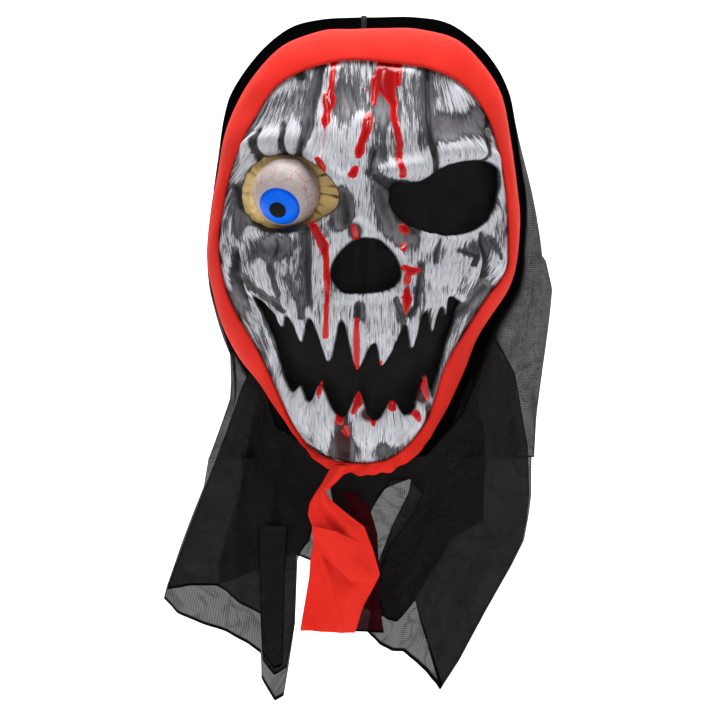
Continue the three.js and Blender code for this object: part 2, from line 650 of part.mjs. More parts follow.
add("face_shell", faceShell(), "latex");
add("eyeball", eyeball(), "sclera");
add("iris_disc", iris(), "iris");
add("eye_collar", eyeCollar(), "flesh");
add("eye_screen", eyeScreen(), "voile");
add("nose_screen", noseScreen(), "voile");
add("mouth_screen", mouthScreen(), "voile");
add("red_band", redBand(), "redCotton");
add("chin_gather", gather(), "redCotton");
add("hood_panel_left", hoodPanel(LEFT), "voile");
add("hood_panel_right", hoodPanel(RIGHT), "voile");
add("hood_seam", hoodSeam(), "voile");
add("elastic_strap", strap(), "elastic");
add("strap_rivet_left", rivet(LEFT), "steel");
add("strap_rivet_right", rivet(RIGHT), "steel");
add("fall_left", hangingCloth(LEFT_FALL, FALL_TOP_Z, FALL_Y, CLOTH), "voile");
add("fall_right", hangingCloth(RIGHT_FALL, FALL_TOP_Z, FALL_Y, CLOTH), "voile");
add("back_panel", hangingCloth(BACK_PANEL, FALL_TOP_Z, BACK_PANEL_Y, CLOTH), "voile");
add("tail_strip", hangingCloth(TAIL, TAIL_TOP_Z, TAIL_Y, CLOTH), "redCotton");
add("tail_fold", hangingCloth(TAIL_FOLD, TAIL_TOP_Z, TAIL_Y - CLOTH - GAP, CLOTH), "redCotton");
add("tail_overlay", hangingCloth(TAIL_OVERLAY, TAIL_TOP_Z, TAIL_Y + CLOTH + GAP, CLOTH), "voile");

export default mask;
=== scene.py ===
"""A moulded skull face mask with a bulging eye, a red cotton edging and a sheer black hood."""
import math

import bmesh
import bpy
import numpy as np
from mathutils import Matrix, Vector


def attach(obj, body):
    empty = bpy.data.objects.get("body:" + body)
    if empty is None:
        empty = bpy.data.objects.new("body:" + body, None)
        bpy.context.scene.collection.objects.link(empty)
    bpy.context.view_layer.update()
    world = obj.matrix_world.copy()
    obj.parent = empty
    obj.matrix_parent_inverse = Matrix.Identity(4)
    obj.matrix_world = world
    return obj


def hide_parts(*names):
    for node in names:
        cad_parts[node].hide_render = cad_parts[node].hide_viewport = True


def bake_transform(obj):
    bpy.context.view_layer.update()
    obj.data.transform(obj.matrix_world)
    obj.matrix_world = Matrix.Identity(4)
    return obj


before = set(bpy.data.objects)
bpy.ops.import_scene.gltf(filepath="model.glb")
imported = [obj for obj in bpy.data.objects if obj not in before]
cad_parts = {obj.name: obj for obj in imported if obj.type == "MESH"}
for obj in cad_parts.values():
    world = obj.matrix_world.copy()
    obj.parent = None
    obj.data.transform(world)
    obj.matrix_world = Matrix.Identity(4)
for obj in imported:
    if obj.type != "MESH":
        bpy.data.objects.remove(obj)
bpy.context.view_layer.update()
MM = 0.001
WAVE_RATE = 20  # a wave texture turns through this many radians for each unit at a scale of 1
ADD, TAKE, TIMES, LARGER = ({"operation": word} for word in ("ADD", "SUBTRACT", "MULTIPLY", "MAXIMUM"))
COLOURS, NUMBERS = {"data_type": "RGBA"}, {"data_type": "FLOAT"}
SMOOTH = {"interpolation_type": "SMOOTHSTEP"}

# ---------------------------------------------------------------------------------------------------------
# Sizes, in millimetres.
# ---------------------------------------------------------------------------------------------------------
FACE_HALF_WIDTH = 91
FACE_HALF_HEIGHT = 130
FACE_CENTRE_Z = -31.5
FACE_DEPTH = 112
RIM_DEPTH_TOP = 62
RIM_DEPTH_SIDE = 45
RIM_DEPTH_CHIN = 78
WALL = 2.5
SHELL_REACH = 0.97
BALL = np.array([-45.6, -93.0, 4.2])
BALL_RADIUS = 20
PAINTED_BALL = 20.9
IRIS_RADIUS = 12.4
PUPIL_RADIUS = 5.1
GAZE = Vector((-0.262, -0.8, -0.525)).normalized()
SOCKET_AXIS = Vector((-0.17, -0.985, 0)).normalized()
BAND_OUT = 3.7
BAND_RETURN = 14
HEM_Z = -159.2
SEAM_TOP_Z = 75
HOOD_END_ANGLE = math.radians(-72)
FALL_Y = -62
TAIL_Y = -86
BACK_PANEL_Y = 93
BEHIND = (0, 400, -200)  # a place behind the falls, which they face away from
HEAD_MIDDLE = (0, 40, FACE_CENTRE_Z)
IRIS_PROUD = 0.2
IRIS_THICKNESS = 0.9
LID_THICKNESS = 1.0
LID_TUCK = 3.2  # how far below the face's skin the lid's outer edge ends
COTTON_THICKNESS = 0.8
COTTON_THREADS = 0.9
VOILE_MESH = 1.2
HEM_WIDTH = 1.8
SELVEDGE = 0.5
PLY_OPENING = 0.085  # the share of what is behind it that one ply of the voile lets through

FACE_OUTLINE = [
    (0.05, 1.015), (0.35, 1.01), (0.62, 0.955), (0.87, 0.74), (0.955, 0.42), (1.0, 0.145), (0.935, -0.14),
    (0.74, -0.346), (0.57, -0.63), (0.305, -0.92), (0.05, -0.997), (-0.25, -0.957), (-0.44, -0.81),
    (-0.605, -0.645), (-0.87, -0.377), (-1.0, -0.07), (-1.0, 0.08), (-0.935, 0.364), (-0.83, 0.66),
    (-0.535, 0.93), (-0.285, 1.0),
]
BAND_INNER_OUTLINE = [
    (0.17, 0.859), (0.44, 0.83), (0.63, 0.766), (0.785, 0.63), (0.91, 0.337), (0.935, 0.051), (0.93, -0.069),
    (0.795, -0.197), (0.66, -0.346), (0.52, -0.513), (0.38, -0.787), (0.178, -0.935), (-0.08, -0.962),
    (-0.3, -0.915), (-0.43, -0.815), (-0.67, -0.462), (-0.88, -0.19), (-0.945, 0.029), (-0.92, 0.18),
    (-0.845, 0.408), (-0.7, 0.61), (-0.545, 0.766), (-0.15, 0.87),
]
SOCKET_OUTLINE = [
    (-1.45, 0.1), (-1.3, 0.62), (-0.55, 1.15), (0.1, 1.2), (0.75, 0.98), (1.3, 0.55), (1.56, 0.12),
    (1.5, -0.5), (0.95, -0.92), (0.1, -1.2), (-0.7, -1.15), (-1.28, -0.6),
]
OPEN_EYE = (48.6, 0)
EYE_OPENING = [
    (-31.5, 8), (-22.5, 9), (-14, 10.5), (-6, 16), (2, 20), (12.5, 23), (22.5, 23), (28.5, 17), (31.5, 8),
    (30.5, -2), (24.5, -12), (12.5, -20), (-3.5, -22), (-16.5, -18), (-25.5, -12), (-31.5, -4),
]
NOSE_OPENING = [
    (-5, -25), (8, -25), (13, -29), (19, -37), (21, -47), (16, -53), (0, -56), (-13, -55), (-19, -47),
    (-17, -37),
]
UPPER_TEETH = [
    (-65, -58), (-60, -61), (-55, -67), (-47, -76), (-45, -69), (-36, -85), (-32, -71), (-20, -97),
    (-13, -72), (-4, -101), (6, -85), (10, -99), (18, -87), (24, -75), (27, -89), (36, -67), (39, -79),
    (45, -64), (47, -69), (50, -58), (57, -62),
]
LOWER_TEETH = [
    (55, -68), (50, -83), (44, -103), (42, -109), (39, -118), (35, -104), (26, -127), (23, -128), (16, -119),
    (8, -131), (4, -131), (-3, -114), (-12, -130), (-16, -128), (-25, -109), (-31, -120), (-36, -110),
    (-41, -114), (-46, -105), (-50, -97), (-53, -85), (-59, -70),
]
SWELLS = [
    ((-45, 40), (38, 13), 5), ((45, 40), (38, 13), 5), ((48, 0), (34, 24), -7), ((-46, 4), (30, 24), -5),
    ((0, 12), (11, 26), 5), ((-60, -45), (22, 16), 4), ((62, -45), (22, 16), 4), ((0, -72), (46, 15), 5),
    ((0, -138), (34, 14), 5),
]
HOOD_EASE = {
    -1: [(-160, 5), (-142, 0), (-121, -6), (-95, -6), (-53, 5), (-5, 7), (41, 6), (113, 4)],
    1: [(-160, 10), (-131, 12), (-53, 21), (-5, 12), (41, 6), (113, 4)],
}
# How much fuller the voile hangs than the smooth body in the model, by height.
HOOD_FULLNESS = {
    -1: [(-160, 1.06), (-110, 1.0), (-10, 1.0), (25, 1.03), (55, 1.06), (82, 1.035), (100, 1.0)],
    1: [(-160, 1.085), (0, 1.07), (55, 1.075), (82, 1.045), (100, 1.0)],
}
# The depth of the hood's hem and of the edging's back edge, by how far they are from the middle.
HOOD_HEM_DEPTH = [(35, -62), (70, -51), (88, -40), (98, -25), (106, -12)]
BAND_RIM_DEPTH = [(20, -70), (45, -62), (66, -46), (80, -40), (90, -38)]
HOOD_BACK_LINE = [(HEM_Z, 94), (-110, 88), (-70, 92), (-20, 104), (30, 104), (SEAM_TOP_Z, 88)]

# ---------------------------------------------------------------------------------------------------------
# The sculpt: grooves and ridges as strokes (x, z, half width), lumps as ovals.
# ---------------------------------------------------------------------------------------------------------
# Each groove is (depth, darkness, points); the darkness is painted shade in the groove.
GROOVES = [
    (2.4, 0.75, [(-25, 80, 2.1), (-31, 52, 2.3), (-38, 24, 2.2)]),
    (2.8, 1.0, [(37.6, 78, 1.5), (38.2, 46, 1.5), (41.7, 18.6, 1.8)]),
    (1.6, 0.9, [(73, 50, 1.1), (73, 36, 1.2), (69.6, 25, 1.3)]),
    (2.2, 1.0, [(-38, 77, 1.8), (-37.6, 73, 2.2)]),
    (1.4, 0.8, [(-46, 38, 1.0), (-46, 28, 1.2)]),
    (1.8, 1.0, [(-61, 40, 1.2), (-61, 22, 1.6)]),
    (2.4, 1.0, [(-76, -31, 1.4), (-76, -46, 1.6), (-71, -56, 1.4)]),
    (2.6, 0.75, [(-34, -20, 2.2), (-34.5, -40, 2.3), (-33, -61, 2.0)]),
    (1.6, 0.9, [(43, -26, 1.0), (42, -37, 1.0)]),
    (2.0, 1.0, [(68.4, -21, 1.1), (71.4, -34, 1.3), (70, -49, 1.2)]),
    (1.6, 0.9, [(33.6, -39, 1.0), (32.4, -51, 1.1), (28.8, -65, 1.1), (25.8, -69, 1.0)]),
    (2.0, 1.0, [(-3.6, -64, 1.6), (-3.6, -70, 1.8)]),
    (1.6, 0.8, [(-13.5, -132, 3.2), (-12.5, -146, 3.4), (-10, -157, 3.0)]),
    (1.6, 0.8, [(6.6, 28, 1.6), (3, 14, 1.8)]),
    (2.0, 0.72, [(-12, 2, 4.0), (-11, -14, 4.5)]),
    (2.2, 0.95, [(6, 13, 1.6), (13, 8, 3.4), (24, 6, 4.5)]),
    (2.2, 0.75, [(17, -2, 3.4), (22, -12, 4.0), (30, -19, 3.0)]),
    (1.4, 0.55, [(9, 4, 3.0), (12, -8, 3.4), (17, -17, 3.0)]),
    (1.2, 0.7, [(-52, -24, 1.0), (-55, -38, 1.0), (-50, -56, 0.9)]),
    (1.2, 0.7, [(18, -60, 1.0), (23, -76, 1.0)]),
    (1.6, 1.0, [(-76, 8, 1.4), (-73.5, -4, 1.8), (-66, -13, 2.0), (-57, -18.5, 1.9), (-44, -20, 1.5),
                (-33, -18, 1.2)]),
    (1.4, 0.9, [(-63.5, 36, 0.9), (-62, 29, 1.1), (-58, 25, 1.0)]),
    (1.4, 0.9, [(-47, 43, 0.8), (-47.5, 31, 1.1)]),
    (1.2, 0.7, [(-70, -46, 1.6), (-58, -57, 1.8), (-46, -66, 1.4)]),
    (1.4, 0.9, [(-75, -48, 2.4), (-70, -58, 2.0)]),
    (1.2, 0.6, [(-45, -47, 1.0), (-38, -60, 1.3), (-36, -70, 1.0)]),
    (1.0, 0.8, [(58, -32, 1.2), (66, -34, 1.4), (64, -39, 1.2)]),
    (1.2, 0.7, [(75, -24, 1.2), (79, -34, 1.0)]),
    (1.4, 0.9, [(52, -70, 1.2), (62, -62, 1.8), (72, -52, 2.0)]),
]
# Each ridge is (height, whiteness, points).
RIDGES = [
    (3.0, 0.5, [(-72, 32, 3), (-64, 34, 4), (-52, 36, 5), (-38, 33, 4), (-24, 22, 5), (-12, 10, 4)]),
    (3.4, 0.6, [(9, 16, 3), (20, 17, 4), (34, 22, 4), (48, 29, 5), (62, 33, 5), (73, 27, 4), (77, 10, 3)]),
    (2.4, 0.5, [(-66, -20, 3), (-52, -20, 3), (-36, -20, 3)]),
    (2.4, 0.6, [(30, -16, 3), (38, -23, 3), (48, -25, 3), (60, -22, 3), (71, -12, 3)]),
    (3.0, 0.8, [(-7, -15, 2.2), (-13, -24, 2.4), (-19, -36, 2.4), (-22, -48, 2.2)]),
    (3.0, 0.8, [(-2, -15, 2.2), (10, -26, 2.4), (20, -36, 2.4), (25, -46, 2.2)]),
    (1.6, 0.5, [(-16, -60, 2.4), (0, -61, 2.4), (18, -58, 2.4)]),
    (2.4, 0.5, [(-4, 44, 6), (-5, 20, 5), (-5, -6, 4)]),
    (1.6, 0.4, [(-20, 80, 5), (-24, 50, 5), (-20, 24, 4)]),
    (1.8, 0.4, [(26, 78, 6), (28, 50, 6), (26, 26, 5)]),
    (1.6, 0.4, [(-54, 66, 7), (-48, 52, 7)]),
    (1.6, 0.4, [(58, 66, 7), (60, 52, 6)]),
]
# Lumps are ((x, z), (half width, half height), height, whiteness).
LUMPS = [
    ((-67, 27), (6, 11), 2.4, 0.5), ((-55, 33), (9, 6), 1.8, 0.7), ((-41, 38), (5, 10), 1.6, 0.6),
    ((-80, -43), (4, 11), 2.0, 0.6), ((-58, -47), (13, 12), 2.6, 0.4), ((-27, -47), (5, 16), 1.8, 0.5),
    ((40, -26), (5, 5), 1.8, 0.6), ((54, -32), (6, 6), 1.8, 0.5), ((65, -36), (5, 9), 1.6, 0.5),
    ((79, -37), (7, 12), 2.6, 0.6), ((50, -46), (14, 7), 1.6, 0.5), ((-36, -128), (6, 16), 2.2, 0.5),
    ((-23, -134), (6, 18), 2.2, 0.6), ((2, -143), (7, 14), 2.2, 0.6), ((16, -140), (6, 14), 1.8, 0.5),
    ((29, -132), (5, 14), 2.0, 0.6), ((-5, -20), (3.5, 5), 1.2, 0.3),
    ((54.5, -31), (2.5, 2), -1.4, -0.4), ((-40.5, 30), (1.4, 1.2), -1.2, -0.9),
    ((48, 24), (1.2, 1.2), -1.0, -0.8), ((66, 26.4), (1.2, 1.2), -1.0, -0.8),
    ((-11, -148), (9, 7), -1.2, -0.7), ((13, -149), (8, 6), -1.0, -0.6),
    ((21, -22), (14, 8), -2.6, -0.9), ((57, 42), (14, 9), -1.0, -0.5), ((-56, -30), (10, 7), -2.2, -0.7),
    ((8, 20), (5, 10), -1.2, -0.5), ((0, -55.4), (13, 1.6), -0.6, -0.8),
    ((-12, -7), (8, 14), -2.4, -1.0), ((-52, -28), (11, 7), -0.8, -0.8), ((-46, 52), (12, 12), -0.6, -0.45),
    ((-11, 55), (8, 13), -0.8, -0.7), ((12, 56), (7, 14), -0.8, -0.9), ((30, 56), (9, 18), -0.6, -0.55),
    ((48, 41), (7, 8), -0.8, -1.0), ((66, 47), (8, 9), -0.8, -0.9), ((57, 28), (15, 5.5), 1.8, 0.8),
    ((25, 17), (15, 7), 2.4, 0.5), ((-20, 26), (13, 16), 2.6, 0.35), ((-18, 12), (8, 5), 1.4, 0.4),
    ((78, 20), (4, 18), 1.6, 0.7), ((-3, -30), (12, 3), 0, 0.2), ((66, -30), (6, 4), -0.6, -0.6),
    ((-2, -68), (4, 6), -0.5, -0.5), ((-74, -10), (6, 12), -0.4, -0.4), ((73, -62), (8, 10), -1.0, -0.9),
    ((-76, -62), (8, 8), -1.0, -0.9), ((36, -70), (7, 8), -0.5, -0.4),
]
# Teeth are (tip x, tip z, root x, root z, half width).
TEETH = [
    (-47, -76, -47, -62, 4), (-36, -85, -39, -62, 5), (-20, -97, -22, -66, 6.5), (-4, -101, -5, -70, 6.5),
    (10, -99, 11, -70, 6), (27, -89, 28, -62, 5.5), (39, -79, 39, -58, 4.5), (47, -69, 47, -56, 3),
    (-46, -105, -44, -122, 4), (-36, -110, -36, -130, 4.5), (-25, -109, -23, -134, 6),
    (-3, -114, -2, -138, 6.5), (16, -119, 16, -140, 6), (35, -104, 31, -132, 6), (42, -109, 40, -122, 3.5),
]
# Runs of stage blood are strokes with a radius at each point.
BLOOD = [
    [(-18, 86, 2.2), (-18.2, 76, 1.5), (-18.8, 68, 1.7), (-20, 61.5, 1.7), (-20.4, 59, 3.7), (-20.8, 56, 3.8),
     (-21.5, 51, 2.1), (-22, 48, 2.2), (-22.4, 45.5, 2.9), (-22.6, 43.5, 2.5), (-23, 40, 0.6),
     (-23, 30, 0.4)],
    [(-25.2, 23.5, 1.7), (-23.4, 20, 2.6), (-21.6, 16.8, 2.2)],
    [(3, 49, 2.0), (2.2, 45, 2.8), (1.4, 39, 2.7), (-1.2, 32, 1.9), (-2, 27, 2.4), (-2.6, 23.5, 1.5)],
    [(-3.8, 16.5, 1.6), (-5, 13, 2.3)],
    [(13, 84, 4.5), (13, 74, 6.5), (13, 68, 6.0), (16, 60, 3.2), (18, 55.8, 2.4), (17.4, 49, 2.0),
     (19.2, 42, 2.1), (21, 32.4, 2.2), (19.8, 21, 1.8), (21, 13.8, 2.3)],
    [(8, 70, 4.0), (6.5, 64, 2.2), (5.8, 56, 1.6)],
    [(20, 82, 3.0), (20, 68, 2.0)],
    [(-30, -15.6, 2.7), (-27, -22, 2.6), (-23.4, -28.8, 3.3), (-21.6, -36, 1.9), (-21, -60, 1.5),
     (-21, -80, 1.7)],
    [(24, -17.4, 3.0), (25, -19, 2.6)],
    [(23.4, -28.8, 2.4), (23, -30.5, 1.8)],
    [(23, -41, 2.0), (28, -43, 2.4), (32, -42.6, 1.8)],
    [(24.6, -44, 1.6), (24.6, -49, 2.4)],
    [(24.6, -55, 2.2), (24.4, -60, 2.7), (23.6, -68, 0.9)],
    [(-4.2, -72, 1.4), (-4.2, -84, 2.1), (-4.2, -99, 1.9)],
    [(-7.0, -54.4, 1.2), (-1.8, -54.8, 1.3)],
    [(-5.5, -17.5, 1.6), (-4.6, -24, 1.4)],
    [(-24.6, -110, 1.2), (-24.8, -114.6, 1.6)],
    [(-3, -114.5, 1.6), (-3.4, -121, 2.6), (-6, -127, 1.5)],
    [(16, -119.5, 1.6), (15.6, -124, 2.4)],
    [(34.4, -106, 1.0), (33.8, -112, 2.2), (34.8, -118, 1.4)],
    [(-14.2, -129.5, 2.4), (-13.6, -132.6, 2.0)],
    [(4.8, -130, 1.8), (5.2, -133, 1.4)],
    [(27.6, -127, 2.0), (28.4, -130, 1.3)],
    [(-10.4, -136, 1.6), (-10.2, -140, 1.9)],
    [(9, -103, 0.8), (9.6, -96, 1.0)],
]
SPATTERS = 70
RIDGE_GAIN = 1.35  # the relief is drawn this much higher than the strokes and ovals above say
LUMP_GAIN = 1.3
TOOTH_RISE = 2.6
BLOOD_RISE = 0.75
# Old blood lies flat and dark: (x, z, half width, half height).
STAINS = [(-12.5, -145, 4.5, 13), (-5, -20, 4, 5), (35.4, -128, 3, 8), (32, -113, 5, 8), (4, -128, 6, 4)]


# ---------------------------------------------------------------------------------------------------------
# Lines and outlines
# ---------------------------------------------------------------------------------------------------------
def smooth_loop(points, per_side=10):
    """A closed centripetal Catmull-Rom curve through the points."""
    p1 = np.array(points, float)
    p0, p2, p3 = np.roll(p1, 1, 0), np.roll(p1, -1, 0), np.roll(p1, -2, 0)
    gap = [np.linalg.norm(b - a, axis=1)[:, None] ** 0.5 for a, b in ((p0, p1), (p1, p2), (p2, p3))]
    m1 = ((p1 - p0) / gap[0] - (p2 - p0) / (gap[0] + gap[1]) + (p2 - p1) / gap[1]) * gap[1]
    m2 = ((p2 - p1) / gap[1] - (p3 - p1) / (gap[1] + gap[2]) + (p3 - p2) / gap[2]) * gap[1]
    rounds = []
    for t in np.arange(per_side) / per_side:
        rounds.append(p1 + m1 * t + (3 * (p2 - p1) - 2 * m1 - m2) * t**2 + (2 * (p1 - p2) + m1 + m2) * t**3)
    return np.stack(rounds, 1).reshape(-1, 2)


def polar_radius(points):
    """An outline round the origin, as a function that gives its radius at any angle."""
    loop = smooth_loop(points, 24)
    angle = np.arctan2(loop[:, 1], loop[:, 0])
    order = np.argsort(angle)
    radius = np.hypot(loop[:, 0], loop[:, 1])[order]
    return lambda at: np.interp(at, angle[order], radius, period=2 * math.pi)


def smoothstep(low, high, value):
    share = np.clip((value - low) / (high - low), 0, 1)
    return share * share * (3 - 2 * share)


def lerp(a, b, share):
    return a + (b - a) * share


def read_line(line, at):
    keys = np.array(line, float)
    return np.interp(at, keys[:, 0], keys[:, 1])


def along_line(points, share):
    """Places at shares of the length of an open line through the points."""
    line = np.array(points, float)
    length = np.concatenate([[0], np.cumsum(np.linalg.norm(np.diff(line, axis=0), axis=1))])
    at = np.clip(share, 0, 1) * length[-1]
    return np.stack([np.interp(at, length, line[:, k]) for k in range(line.shape[1])], -1)


def segment_distance(x, z, a, b):
    """The distance to a segment, and the share of the way along it."""
    run = np.array([b[0] - a[0], b[1] - a[1]], float)
    share = ((x - a[0]) * run[0] + (z - a[1]) * run[1]) / max(run @ run, 1e-9)
    share = np.clip(share, 0, 1)
    return np.hypot(x - a[0] - share * run[0], z - a[1] - share * run[1]), share


def stroke(x, z, points):
    """How far outside a stroke each place is, and the stroke's radius there."""
    best = np.full(np.shape(x), 1e9)
    wide = np.ones(np.shape(x))
    for a, b in zip(points, points[1:]):
        gap, share = segment_distance(x, z, a, b)
        radius = lerp(a[2], b[2], share)
        nearer = gap - radius < best
        best = np.where(nearer, gap - radius, best)
        wide = np.where(nearer, radius, wide)
    return best, wide


def outline_distance(x, z, loop):
    """The distance to a closed outline, below 0 inside it, and the nearest place on it."""
    best = np.full(np.shape(x), 1e9)
    near = np.zeros((len(x), 2))
    inside = np.zeros(np.shape(x), bool)
    for a, b in zip(loop, np.roll(loop, -1, 0)):
        gap, share = segment_distance(x, z, a, b)
        nearer = gap < best
        best = np.where(nearer, gap, best)
        place = a + share[:, None] * (b - a)
        near[nearer] = place[nearer]
        crosses = (a[1] > z) != (b[1] > z)
        rise = b[1] - a[1] if abs(b[1] - a[1]) > 1e-9 else 1e-9
        inside ^= crosses & (x < a[0] + (z - a[1]) * (b[0] - a[0]) / rise)
    return np.where(inside, -best, best), near


# ---------------------------------------------------------------------------------------------------------
# The face's surface
# ---------------------------------------------------------------------------------------------------------
face_radius = polar_radius(FACE_OUTLINE)
band_radius = polar_radius(BAND_INNER_OUTLINE)


def face_point(angle, reach):
    """The middle of the face's wall at an angle round the outline and a share of the way out to it."""
    out = face_radius(angle) * reach
    x = FACE_HALF_WIDTH * out * np.cos(angle)
    v = out * np.sin(angle)
    z = FACE_CENTRE_Z + FACE_HALF_HEIGHT * v
    end = np.where(v > 0, RIM_DEPTH_TOP, RIM_DEPTH_CHIN)
    rim = lerp(RIM_DEPTH_SIDE, end, np.clip(v * v, 0, 1))
    dome = (1 - np.clip(reach, 0, 1) ** 2.2) ** 0.62
    swell = sum(
        high * np.exp(-(((x - at[0]) / wide[0]) ** 2) - ((z - at[1]) / wide[1]) ** 2)
        for at, wide, high in SWELLS
    )
    y = -lerp(rim, FACE_DEPTH, dome) - swell * smoothstep(0.02, 0.22, 1 - reach)
    return np.stack([x, y, z], -1)


def skin_at(x, z):
    u, v = x / FACE_HALF_WIDTH, (z - FACE_CENTRE_Z) / FACE_HALF_HEIGHT
    angle = np.arctan2(v, u)
    return face_point(angle, np.hypot(u, v) / face_radius(angle))


def skin_normal(x, z, step=1.5):
    across = skin_at(x + step, z) - skin_at(x - step, z)
    up = skin_at(x, z + step) - skin_at(x, z - step)
    normal = np.cross(across, up)
    normal /= np.linalg.norm(normal, axis=-1, keepdims=True)
    return np.where(normal[..., 1:2] > 0, -normal, normal)


def brush_place(x, z):
    """Where a place lies across and along the brush strokes, which lean in towards the crown and the chin."""
    rise = (z + 15) / 100
    lean = np.where(z > -15, np.where(x < 0, 2.2, 0.9), 1.0) * smoothstep(15, 70, np.abs(x))
    return x * (1 + lean * np.clip(np.abs(rise), 0, 0.85) ** 2), z + 0.25 * np.abs(x)


def ripples(value, seed, lengths, heights):
    """A sum of waves of the given lengths, for the small ridges that run along the bone."""
    phase = np.random.default_rng(seed).uniform(0, 2 * math.pi, len(lengths))
    return sum(h * np.sin(2 * math.pi * value / w + p) for w, h, p in zip(lengths, heights, phase))


MOUTH = np.array(UPPER_TEETH + LOWER_TEETH, float)
HOLES = {
    "socket": smooth_loop(SOCKET_OUTLINE, 8) * (BALL_RADIUS - 1.2, BALL_RADIUS - 2) + BALL[[0, 2]],
    "eye": smooth_loop(EYE_OPENING, 6) + np.array(OPEN_EYE),
    "nose": smooth_loop(NOSE_OPENING, 6),
    "mouth": smooth_loop(MOUTH, 5),
}
ROLL = {"socket": 2.0, "eye": 2.6, "nose": 1.8, "mouth": 1.5}


def sculpt(x, z):
    """The relief over the plain face in mm, with the paint: whiteness, painted shade in the grooves and at
    the holes' edges, and blood.
    """
    across, along = brush_place(x, z)
    wander = ripples(along, 3, (61, 37), (2.2, 1.3))
    fine = ripples(across + wander, 5, (9.1, 5.3, 3.7), (0.5, 0.38, 0.26))
    strength = 0.55 + 0.45 * np.sin(along / 17 + across / 23)
    height = fine * strength
    white = np.full(np.shape(x), 0.40) + 0.14 * fine
    painted_shade = np.zeros(np.shape(x))
    for lift, paint, points in RIDGES:
        gap, wide = stroke(x, z, points)
        share = np.exp(-(np.clip(gap + wide, 0, None) / (wide + 1.5)) ** 2)
        height += RIDGE_GAIN * lift * share
        white += paint * share
    for (cx, cz), (wx, wz), lift, paint in LUMPS:
        share = np.exp(-((((x - cx) / wx) ** 2 + ((z - cz) / wz) ** 2) ** 1.5))
        height += LUMP_GAIN * lift * share
        white += paint * share
    for tip_x, tip_z, root_x, root_z, half in TEETH:
        gap, _ = stroke(x, z, [(tip_x, tip_z, 0), (root_x, root_z, 0)])
        share = np.exp(-((gap / half) ** 2))
        height += TOOTH_RISE * share
        white += 0.35 * share
    for depth, shade, points in GROOVES:
        gap, wide = stroke(x, z, points)
        share = np.exp(-(np.clip(gap + wide, 0, None) / (wide + 0.5)) ** 2)
        height -= depth * share
        painted_shade = np.maximum(painted_shade, shade * share)
        white -= 1.2 * share
    for name, loop in HOLES.items():
        gap, _ = outline_distance(x, z, loop)
        gap = np.clip(gap, 0, None)
        height -= ROLL[name] * np.exp(-gap / 1.3)
        height += 0.8 * np.exp(-(((gap - 4) / 2.5) ** 2))
        # Painted shade along each hole's edge, where the wall turns in; at the eye socket it is widened at
        # the lower left as a painted shadow in the crevice under the lid.
        edge = 0.9
        if name == "socket":
            edge += 1.9 * smoothstep(10, -4, z) * smoothstep(-30, -50, x)
        painted_shade = np.maximum(painted_shade, 0.9 * np.exp(-((gap / edge) ** 2)))
        white += 0.25 * np.exp(-(((gap - 3.2) / 1.8) ** 2))
    blood = np.full(np.shape(x), 9.0)
    for points in BLOOD:
        gap, _ = stroke(x, z, points)
        blood = np.minimum(blood, gap)
    spots = np.random.default_rng(11)
    for _ in range(SPATTERS):
        run = BLOOD[spots.integers(len(BLOOD))]
        near = run[spots.integers(len(run))]
        spot = (near[0] + spots.normal(0, 5), near[1] + spots.normal(0, 6))
        gap = np.hypot(x - spot[0], z - spot[1]) - spots.uniform(0.3, 0.8)
        blood = np.minimum(blood, gap)
    height += BLOOD_RISE * smoothstep(0.6, -1.6, blood)
    stain = np.zeros(np.shape(x))
    for cx, cz, wx, wz in STAINS:
        stain = np.maximum(stain, np.exp(-((((x - cx) / wx) ** 2 + ((z - cz) / wz) ** 2) ** 1.2)))
    return height, white, painted_shade, blood, stain


# ---------------------------------------------------------------------------------------------------------
# Meshes
# ---------------------------------------------------------------------------------------------------------
def grid(columns, rows):
    """A flat grid, with the shares across and up it of each of its points."""
    bm = bmesh.new()
    bmesh.ops.create_grid(bm, x_segments=columns, y_segments=rows, size=0.5)
    flat = np.array([v.co[:2] for v in bm.verts]) + 0.5
    return bm, flat[:, 0], flat[:, 1]


def move_points(bm, places):
    """Puts the points of a mesh at places given in mm."""
    for vert, place in zip(bm.verts, np.asarray(places) * MM):
        vert.co = place


def measure_out(bm, width, length):
    """Lays out the weave's own coordinates, in metres of cloth, over a flat grid."""
    layer = bm.loops.layers.uv.new("weave")
    for face in bm.faces:
        for loop in face.loops:
            flat = loop.vert.co
            loop[layer].uv = ((flat[0] + 0.5) * width * MM, (flat[1] + 0.5) * length * MM)


def face_away(bm, middle):
    """Turns every face of a sheet together, so that it faces away from a place in mm."""
    middle = Vector(middle) * MM
    facing = sum((f.calc_center_median() - middle).dot(f.normal) * f.calc_area() for f in bm.faces)
    if facing < 0:
        bmesh.ops.reverse_faces(bm, faces=bm.faces)


def piece(name, bm, material, body):
    """Makes a mesh into a piece that rides on a body."""
    mesh = bpy.data.meshes.new(name)
    bm.to_mesh(mesh)
    bm.free()
    mesh.polygons.foreach_set("use_smooth", [True] * len(mesh.polygons))
    obj = bpy.data.objects.new(name, mesh)
    bpy.context.collection.objects.link(obj)
    mesh.materials.append(material)
    if body:
        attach(obj, body)
    return obj


def thicken(obj, thickness, offset=-1.0):
    """Gives a sheet its thickness, in mm."""
    wall = obj.modifiers.new("wall", "SOLIDIFY")
    wall.thickness = thickness * MM
    wall.offset = offset
    return obj


# ---------------------------------------------------------------------------------------------------------
# Materials
# ---------------------------------------------------------------------------------------------------------
def colour(code):
    """An sRGB hex colour as linear red, green, blue and alpha."""
    parts = [int(code[k:k + 2], 16) / 255 for k in (1, 3, 5)]
    return (*[c / 12.92 if c <= 0.04045 else ((c + 0.055) / 1.055) ** 2.4 for c in parts], 1)


